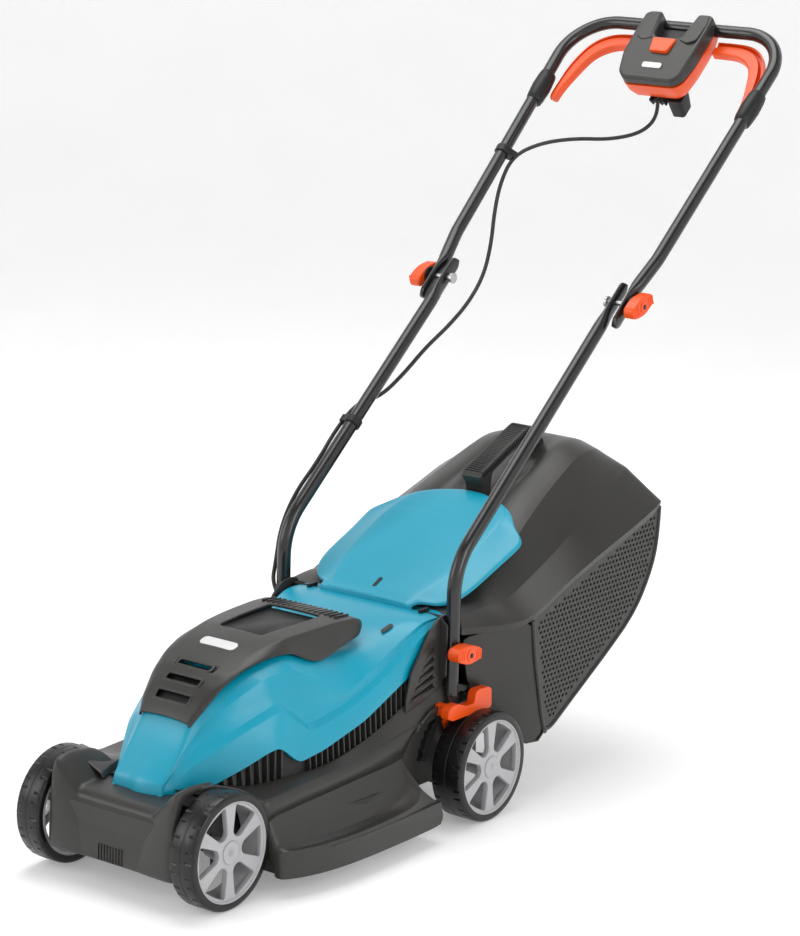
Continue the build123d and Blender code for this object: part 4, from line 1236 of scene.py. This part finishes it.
def add_box_grip():
    """Ribbed arched grip on the lid."""
    arch = [
        (110, 420), (116, 427), (140, 438), (180, 456), (222, 474), (234, 478), (246, 474), (264, 457), (284,
        434),
        (296, 420), (286, 416), (268, 434), (250, 452), (236, 460), (222, 456), (180, 440), (142, 422), (140,
        408),
        (139, 388), (124, 388), (122, 404),
    ]
    core = prism(
        "grip_core", round_corners(arch, 5), 34, lambda u, v, w: (w - 17, u, v), GREY, "grass_box",
        2.0,
    )
    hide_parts("box_grip")
    for step in range(26):
        t = step / 25
        y = 118 + 112 * t
        z = 429 + 49 * t
        rib = round_corners([(-18.5, -8), (18.5, -8), (18.5, 0.0), (13, 3.2), (-13, 3.2), (-18.5, 0.0)], 3)
        prism(
            f"grip_rib_{step}", rib, 3.0,
            lambda u, v, w: (u, y + (w - 1.5) * 0.91 - v * 0.40, z + (w - 1.5) * 0.40 + v * 0.91 - 3),
            DARK, "grass_box", 0.8, 2,
        )


for SIDE, SIGN in (("right", 1), ("left", -1)):
    add_box_side(SIDE, SIGN)
add_box_back()
add_box_grip()


# ---------------------------------------------------------------- handle tubes
def bent_path(points, radii, step=4.0):
    """Straight runs joined by arcs of the given radii, as a dense line of points."""
    result = [Vector(points[0])]
    for before, here, after, radius in zip(points, points[1:], points[2:], radii):
        here = Vector(here)
        back = (Vector(before) - here).normalized()
        on = (Vector(after) - here).normalized()
        half = back.angle(on) / 2
        reach = radius / math.tan(half)
        centre = here + (back + on).normalized() * (radius / math.sin(half))
        start = here + back * reach - centre
        turn = math.pi - 2 * half
        axis = back.cross(on).normalized() * -1
        count = max(3, round(turn / math.radians(step)))
        for index in range(count + 1):
            spin = Matrix.Rotation(turn * index / count, 3, axis)
            result.append(centre + spin @ start)
    result.append(Vector(points[-1]))
    return result


def bent_tube(name, points, radii, radius, body, normal, flats=()):
    """A swept round tube, pressed flat at the ends named in flats; normal is square to its bends."""
    path = bent_path(points, radii)
    dense = []
    for a, b in zip(path, path[1:]):
        parts = max(1, round((b - a).length / 12))
        dense += [a + (b - a) * (i / parts) for i in range(parts)]
    dense.append(path[-1])
    first = (dense[1] - dense[0]).normalized()
    last = (dense[-2] - dense[-1]).normalized()
    dense[1:1] = [dense[0] + first * d for d in (1.0, 3.0, 6.0, 9.0)]
    dense[-1:-1] = [dense[-1] + last * d for d in (9.0, 6.0, 3.0, 1.0)]
    total = sum((b - a).length for a, b in zip(dense, dense[1:]))
    normal = Vector(normal).normalized()
    rows = []
    travelled = 0.0
    for index, point in enumerate(dense):
        if index:
            travelled += (point - dense[index - 1]).length
        ahead = dense[min(index + 1, len(dense) - 1)]
        behind = dense[max(index - 1, 0)]
        side = (ahead - behind).normalized().cross(normal).normalized()
        left = min(travelled if "start" in flats else 999, total - travelled if "end" in flats else 999)
        squeeze = max(0.0, min(1.0, (82 - left) / 34))
        squeeze = squeeze * squeeze * (3 - 2 * squeeze)
        wide = radius * (1 + 0.14 * squeeze)
        thin = radius * (1 - 0.58 * squeeze)
        if left < 11:
            wide *= max(0.25, math.sqrt(1 - ((11 - left) / 11) ** 2 * 0.94))
        across, over = (wide, thin) if abs(normal.x) > 0.5 else (thin, wide)
        rows.append([
            tuple(point + side * (across * math.cos(a)) + normal * (over * math.sin(a)))
            for a in (2 * math.pi * k / 24 for k in range(24))
        ])
    piece = skin(name, rows, PAINT, body, wrap=True, caps=True)
    return piece


lower_end_y = JUNCTION_Y + 36 * math.cos(SLOPE)
lower_rise = (JUNCTION_Z - 360.0) / (JUNCTION_Y - LOWER_TUBE_Y)
lower_end_z = JUNCTION_Z + (lower_end_y - JUNCTION_Y) * lower_rise
for SIDE, SIGN in (("right", 1), ("left", -1)):
    route = [
        (SIGN * LOWER_TUBE_X, LOWER_TUBE_Y, FOOT_Z), (SIGN * LOWER_TUBE_X, LOWER_TUBE_Y, 360.0),
        (SIGN * LOWER_TUBE_X, lower_end_y, lower_end_z),
    ]
    tube = bent_tube(f"lower_handle_{SIDE}", route, [90], TUBE_RADIUS, "mower_body", (1, 0, 0), ("end",))
    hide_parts(f"lower_tube_{SIDE}")
half_route = [on_handle(170.6, -42), on_handle(170.6, 30), on_handle(179, 85), on_handle(193, CROSSBAR_S)]
full_route = half_route + [(-x, y, z) for x, y, z in reversed(half_route)]
tube = bent_tube(
    "upper_handle_tube", full_route, [90, 90, 76, 76, 90, 90], TUBE_RADIUS, "handle",
    (0, -math.sin(SLOPE), math.cos(SLOPE)), ("start", "end"),
)
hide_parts("upper_handle")


# ---------------------------------------------------------------- knobs
def add_wing_knob(name, body, x_from, x_to, y, z, tilt):
    """Winged hand nut with a collar, fluted on both faces."""
    turn = math.radians(tilt)

    def place(u, v, w):
        return (
            x_from + (x_to - x_from) * w, y + u * math.cos(turn) - v * math.sin(turn),
            z + u * math.sin(turn) + v * math.cos(turn),
        )

    outline = round_corners([
        (-27, -8), (-27, 7), (-12, 12), (0, 13.5), (12, 12), (27, 9), (27, -6), (12, -11), (0, -13.5), (-12,
        -12),
    ], 7)
    knob = prism(f"{name}_wings", outline, 1.0, place, ORANGE, body, 3.0, 4)
    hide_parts(name)
    collar = ring(32, 12.5)
    span = x_to - x_from
    side = 1 if span > 0 else -1

    def outside(u, v, w):
        turned = place(u, v, 1.0)
        return (turned[0] + side * w, turned[1], turned[2])

    prism(
        f"{name}_boss", ring(28, 8.5), 1.8, lambda u, v, w: outside(u, v, w - 0.6), ORANGE, body,
        0.6, 2
    )
    # dark disc on the boss: painted shade of the nut's centre hole
    prism(
        f"{name}_hole", ring(20, 3.6), 0.6, lambda u, v, w: outside(u, v, w + 0.9), DARK, body,
        0
    )
    for index, u_rib in enumerate((-23, -18.5, -14, 14, 18.5, 23)):
        rib = [(u_rib - 1.1, -6.5), (u_rib + 1.1, -6.5), (u_rib + 1.1, 7.5), (u_rib - 1.1, 7.5)]
        prism(
            f"{name}_rib_{index}", rib, 1.4, lambda u, v, w: outside(u, v, w - 0.6), ORANGE, body,
            0.5, 2
        )
    prism(
        f"{name}_collar", collar, 1.0,
        lambda u, v, w: (x_from - span * 0.14 + span * 0.18 * w, y + u, z + v), DARK, body,
        1.0, 2,
    )


for SIDE, SIGN in (("right", 1), ("left", -1)):
    low, high = box_mm(f"fold_knob_{SIDE}")
    ends = (low[0], high[0]) if SIGN > 0 else (high[0], low[0])
    add_wing_knob(f"fold_knob_{SIDE}", f"fold_knob_{SIDE}", ends[0], ends[1], JUNCTION_Y, JUNCTION_Z, 20)
    low, high = box_mm(f"foot_knob_{SIDE}")
    ends = (low[0], high[0]) if SIGN > 0 else (high[0], low[0])
    add_wing_knob(f"foot_knob_{SIDE}", f"foot_knob_{SIDE}", ends[0], ends[1], LOWER_TUBE_Y, 240.0, -8)

# ---------------------------------------------------------------- height lever
lever = [
    (-169, 157), (-168, 168), (-158, 174), (-146, 174), (-128, 167), (-109, 166), (-106, 181), (-100, 184),
    (-76, 183), (-69, 178), (-68, 154), (-76, 150), (-100, 151), (-130, 152), (-158, 152),
]
grip = prism(
    "lever_grip", round_corners(lever, 2.5), 14, lambda u, v, w: (163 + w, u, v), ORANGE, "rear_axle",
    1.0, 3,
)
arm = [(-110, 80), (-88, 88), (-138, 164), (-160, 170), (-160, 156), (-146, 148)]
prism(
    "lever_arm", round_corners(arm, 6), 6, lambda u, v, w: (145 + w, u, v), ORANGE, "rear_axle",
    1.2,
)
bridge = round_corners([(-160, 156), (-160, 172), (-148, 172), (-148, 156)], 3)
prism("lever_bridge", bridge, 16, lambda u, v, w: (147 + w, u, v), ORANGE, "rear_axle", 1.0)
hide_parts("height_lever")


# ---------------------------------------------------------------- switch housing
def loft_plan(name, layers, material, body, bevel=1.0):
    """Closed outlines (x, s) stacked by height above the handle plane."""
    rows = [[on_handle(x, s, n) for x, s in outline] for n, outline in layers]
    piece = skin(name, rows, material, body, wrap=True, caps=True)
    if bevel:
        round_edges(piece, bevel, 3, 28)
    return piece


def mirrored(points):
    """A closed outline from its right half."""
    return points + [(-x, s) for x, s in reversed(points)]


def scaled(points, k, dx=0.0):
    """The outline shrunk towards its middle (0, 476)."""
    return [(x * k, 476 + (s - 476) * k + dx) for x, s in points]


HOUSING_PLAN = round_corners(mirrored([(50, 540), (58, 534), (60, 500), (59, 452), (54, 419), (43, 408)]), 9)


def shell_height(s):
    """Top of the grey shell above the handle plane; it falls away towards the lower edge."""
    return 24.0 - 9.0 * max(0.0, (456 - s) / 48) ** 1.3


def add_housing():
    """Two-shell switch housing on the crossbar; the upper shell is open over the tube."""
    outer = [(53, 540), (61, 534), (62, 500), (61, 452), (55, 419), (43, 408)]
    outline = outer + [(-x, s) for x, s in reversed(outer)]
    outline += [(-32, 540), (-25, 494), (-19, 489), (19, 489), (25, 494), (32, 540)]
    top = prism(
        "housing_top", round_corners(outline, 6, 4), 1.0, lambda u, v, w: on_handle(u, v,
        0.8 + w * (shell_height(v) - 0.5)),
        GREY, "handle", 4.0, 4,
    )
    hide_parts("switch_cover")
    floor = [(32, 538), (26, 488), (-26, 488), (-32, 538)]
    prism(
        "housing_well", floor, 3.0, lambda u, v, w: on_handle(u, v, w + 0.8), DARK, "handle",
        0.3
    )
    for sign in (1, -1):
        arm = round_corners([(34, 537), (28, 492), (24, 484), (40, 478), (54, 486), (57, 520), (53, 537)], 5)
        prism(
            f"housing_arm_{'right' if sign > 0 else 'left'}", arm, 3.5, lambda u, v, w: on_handle(sign * u,
            v, 22.0 + w),
            GREY, "handle", 2.2, 4,
        )
    base = loft_plan("housing_base", [
        (-33, scaled(HOUSING_PLAN, 0.78, -3)), (-29, scaled(HOUSING_PLAN, 0.88, -3)),
        (-16, scaled(HOUSING_PLAN, 0.975, -1)), (-0.8, scaled(HOUSING_PLAN, 1.005)),
    ], ORANGE, "handle", 1.5)
    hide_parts("switch_base")
    button = round_corners([(-21, 484), (21, 484), (15, 457), (-15, 457)], 4)
    cap = prism(
        "button_cap", button, 12, lambda u, v, w: on_handle(u, v, 15 + w), ORANGE, "button",
        1.8
    )
    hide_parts("lock_button")
    badge = round_corners([(-17, 428), (17, 428), (17, 437), (-17, 437)], 4.4)
    plate = prism(
        "housing_badge", badge, 1.6, lambda u, v, w: on_handle(u, v, shell_height(v) - 0.5 + w), BADGE,
        "handle", 0.5,
    )
    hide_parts("switch_badge")
    for index, x in enumerate((-12, -4, 4, 11)):
        fin = [(420, -28), (420, -40), (410, -44), (406, -30)]
        prism(
            f"housing_fin_{index}", fin, 3.0, lambda u, v, w: on_handle(x + w, u, v), DARK, "handle",
            0.5,
        )
    hook = round_corners([(420, -30), (438, -33), (442, -44), (434, -58), (426, -57), (430, -45)], 3)
    piece = prism(
        "strain_hook", hook, 9, lambda u, v, w: on_handle(-26.5 + w, u, v), DARK, "handle",
        1.2
    )
    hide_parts("cable_hook")
    inlet = round_corners([(-13, -15), (13, -15), (13, 15), (-13, 15)], 6)
    sleeve = loft_plan("inlet_sleeve", [
        (-33, [(30 + u, 424 + v) for u, v in inlet]), (-48, [(30 + u * 0.94, 421 + v * 0.94) for u,
        v in inlet]),
        (-62, [(30 + u * 0.86, 418 + v * 0.86) for u, v in inlet]),
        (-62, [(30 + u * 0.66, 418 + v * 0.66) for u, v in inlet]),
        (-46, [(30 + u * 0.66, 421 + v * 0.66) for u, v in inlet]),
    ], DARK, "handle", 0.8)
    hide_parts("plug_inlet")


add_housing()


# ---------------------------------------------------------------- collars and bails
def add_collar(side, sign):
    """Clamp on the upright tube that carries a bail's hinge."""
    rows = []
    steps = 28
    for s, grow in (
        (356, 12.2), (357.5, 13.4), (366, 14.6), (385, 15.8), (404, 14.6), (412, 13.4), (413.5, 12.2)
    ):
        tube_x = 179 + 14 * (s - 85) / (CROSSBAR_S - 85)
        rows.append([
            on_handle(sign * tube_x + grow * math.cos(a) * 0.92 - sign * 1.0, s, grow * math.sin(a) - 2.0)
            for a in (2 * math.pi * k / steps for k in range(steps))
        ])
    piece = skin(f"collar_shell_{side}", rows, DARK, "handle", wrap=True, caps=True)
    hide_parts(f"collar_{side}")


BAIL_S, BAIL_N = 385.0, -17.5
# outer and inner line of a bail, from its hinge to the bar between the two
BAIL_LINES = [
    (174.5, -8, 161, -8), (174.5, 8, 161, 12), (174, 34, 156, 36), (172, 59, 150, 58), (166, 85, 144, 78),
    (158, 106, 135, 92), (144, 122, 121, 102), (122, 133.5, 106, 108), (90, 134.5, 86, 109), (63.5, 134.5,
    63.5, 109),
]
BAIL_SECTION = [
    (0.0, -6.5), (0.0, 5.5), (0.08, 6.8), (0.66, 6.8), (0.70, -3.0), (0.86, -3.0), (0.89, 4.8), (0.99, 4.8),
    (1.0, -6.5),
]


def add_bail(side, sign):
    """Orange bail lever: a broad curved strip with a gutter along its outer edge."""
    rows = []
    for outer_x, outer_t, inner_x, inner_t in BAIL_LINES:
        rows.append([
            on_handle(
                sign * (inner_x + (outer_x - inner_x) * p), BAIL_S + inner_t + (outer_t - inner_t) * p,
                BAIL_N + n,
            )
            for p, n in BAIL_SECTION
        ])
    piece = skin(f"bail_strip_{side}", rows, ORANGE, "bail", wrap=True, caps=True)
    crease_columns(piece, rows, lambda i, j: 0.8)
    ends = [{point_key(p) for p in row} for row in (rows[0], rows[-1])]
    crease(piece, lambda a, b: any(point_key(a) in end and point_key(b) in end for end in ends), 0.9)
    subdivide(piece, 2)
    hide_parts(f"bail_{side}")


for SIDE, SIGN in (("right", 1), ("left", -1)):
    add_collar(SIDE, SIGN)
    add_bail(SIDE, SIGN)


# ---------------------------------------------------------------- cable clips
def add_clip(name, body, tube_at, heading, cable_at):
    """A clip that grips the tube and the cable beside it."""
    heading = Vector(heading).normalized()
    centre, cable = Vector(tube_at), Vector(cable_at)
    side = (cable - centre)
    side = (side - heading * side.dot(heading)).normalized()
    up = heading.cross(side)
    gap = (cable - centre - heading * (cable - centre).dot(heading)).length
    outline = []
    for k in range(40):
        a = 2 * math.pi * k / 40
        reach = TUBE_RADIUS + 2.6
        if math.cos(a) > 0.75:
            reach = gap + 5.0
        outline.append(
            (reach * math.cos(a), min(6.5, max(-6.5,
            reach * math.sin(a))) if math.cos(a) > 0.75 else reach * math.sin(a))
        )
    return prism(
        name, outline, 12, lambda u, v, w: tuple(centre + side * u + up * v + heading * (w - 6)), DARK, body,
        1.0, 2,
    )


start = Vector(on_handle(-179, 85))
end = Vector(on_handle(-193, CROSSBAR_S))
clip = add_clip("upper_clip", "handle", on_handle(-184, 250), end - start, on_handle(-170, 250, -9))
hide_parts("clip_upper")
add_clip("lower_clip", "mower_body", (-150, 24.2, 490.8), (0, 369, 317), (-165, 30, 497))

# ---------------------------------------------------------------- CAD nodes that stay visible
KEPT = {
    "deck": GREY, "motor_can": ALLOY, "motor_mount": DARK, "stator": STACK, "rotor_core": STACK,
    "rotor_shaft": STEEL, "blade_hub": ALLOY, "blade": STEEL, "blade_bolt": STEEL, "front_crank": STEEL,
    "rear_crank": STEEL, "link_rod": STEEL, "tube_bolts": STEEL, "bail_bar": ORANGE, "deck_nose": GREY,
    "deck_tail": GREY,
    "flap_rod": DARK,
}
for node, material in KEPT.items():
    shown = frame["nodes"][node]
    shown.data.materials.clear()
    shown.data.materials.append(material)


# ---------------------------------------------------------------- floor and light
def add_floor():
    """A plain pale floor that curves up into a backdrop all round."""
    rows = []
    for radius, z in (
        (0.05, 0.0), (2.0, 0.0), (4.0, 0.0), (5.0, 0.0), (5.8, 0.25), (6.4, 1.0), (6.6, 2.5), (6.6, 8.0)
    ):
        rows.append([(x, y, z) for x, y in ring(48, radius)])
    verts = [point for row in rows for point in row]
    mesh = bpy.data.meshes.new("floor")
    mesh.from_pydata(verts, [], grid_faces(len(rows), 48, wrap=True) + [tuple(range(47, -1, -1))])
    floor = bpy.data.objects.new("floor", mesh)
    bpy.context.scene.collection.objects.link(floor)
    modifier = floor.modifiers.new("smooth", "SUBSURF")
    modifier.levels = modifier.render_levels = 2
    for polygon in mesh.polygons:
        polygon.use_smooth = True
    material, nodes, links, shader, coords = new_material("floor_paper")
    grain = noise_node(nodes, links, coords, 3.0)
    tint = ramp_node(
        nodes, links, grain.outputs["Fac"], [(0.3, (0.88, 0.88, 0.88)), (0.7, (0.90, 0.90, 0.90))]
    )
    links.new(tint.outputs["Color"], shader.inputs["Base Color"])
    links.new(tint.outputs["Color"], shader.inputs["Emission Color"])
    shader.inputs["Emission Strength"].default_value = 0.26
    shader.inputs["Roughness"].default_value = 0.9
    mesh.materials.append(material)


def add_light(name, place, aim, size, power):
    """A soft rectangular studio light."""
    data = bpy.data.lights.new(name, "AREA")
    data.shape = "RECTANGLE"
    data.size, data.size_y = size
    data.energy = power
    light = bpy.data.objects.new(name, data)
    bpy.context.scene.collection.objects.link(light)
    light.location = place
    light.rotation_euler = (Vector(aim) - Vector(place)).to_track_quat("-Z", "Y").to_euler()


add_floor()
bpy.context.scene.view_settings.view_transform = "Standard"
add_light("overhead", (-0.5, 0.2, 3.2), (0.0, -0.1, 0.3), (2.2, 2.2), 56)
add_light("front_left", (-2.2, -3.0, 1.8), (0.0, -0.2, 0.4), (1.4, 1.8), 24)
add_light("right", (3.2, -0.6, 1.6), (0.0, -0.1, 0.4), (1.4, 2.0), 26)
world = bpy.data.worlds.new("studio")
bpy.context.scene.world = world
world.use_nodes = True
world.node_tree.nodes["Background"].inputs["Color"].default_value = (1.0, 1.0, 1.0, 1.0)
world.node_tree.nodes["Background"].inputs["Strength"].default_value = 0.30
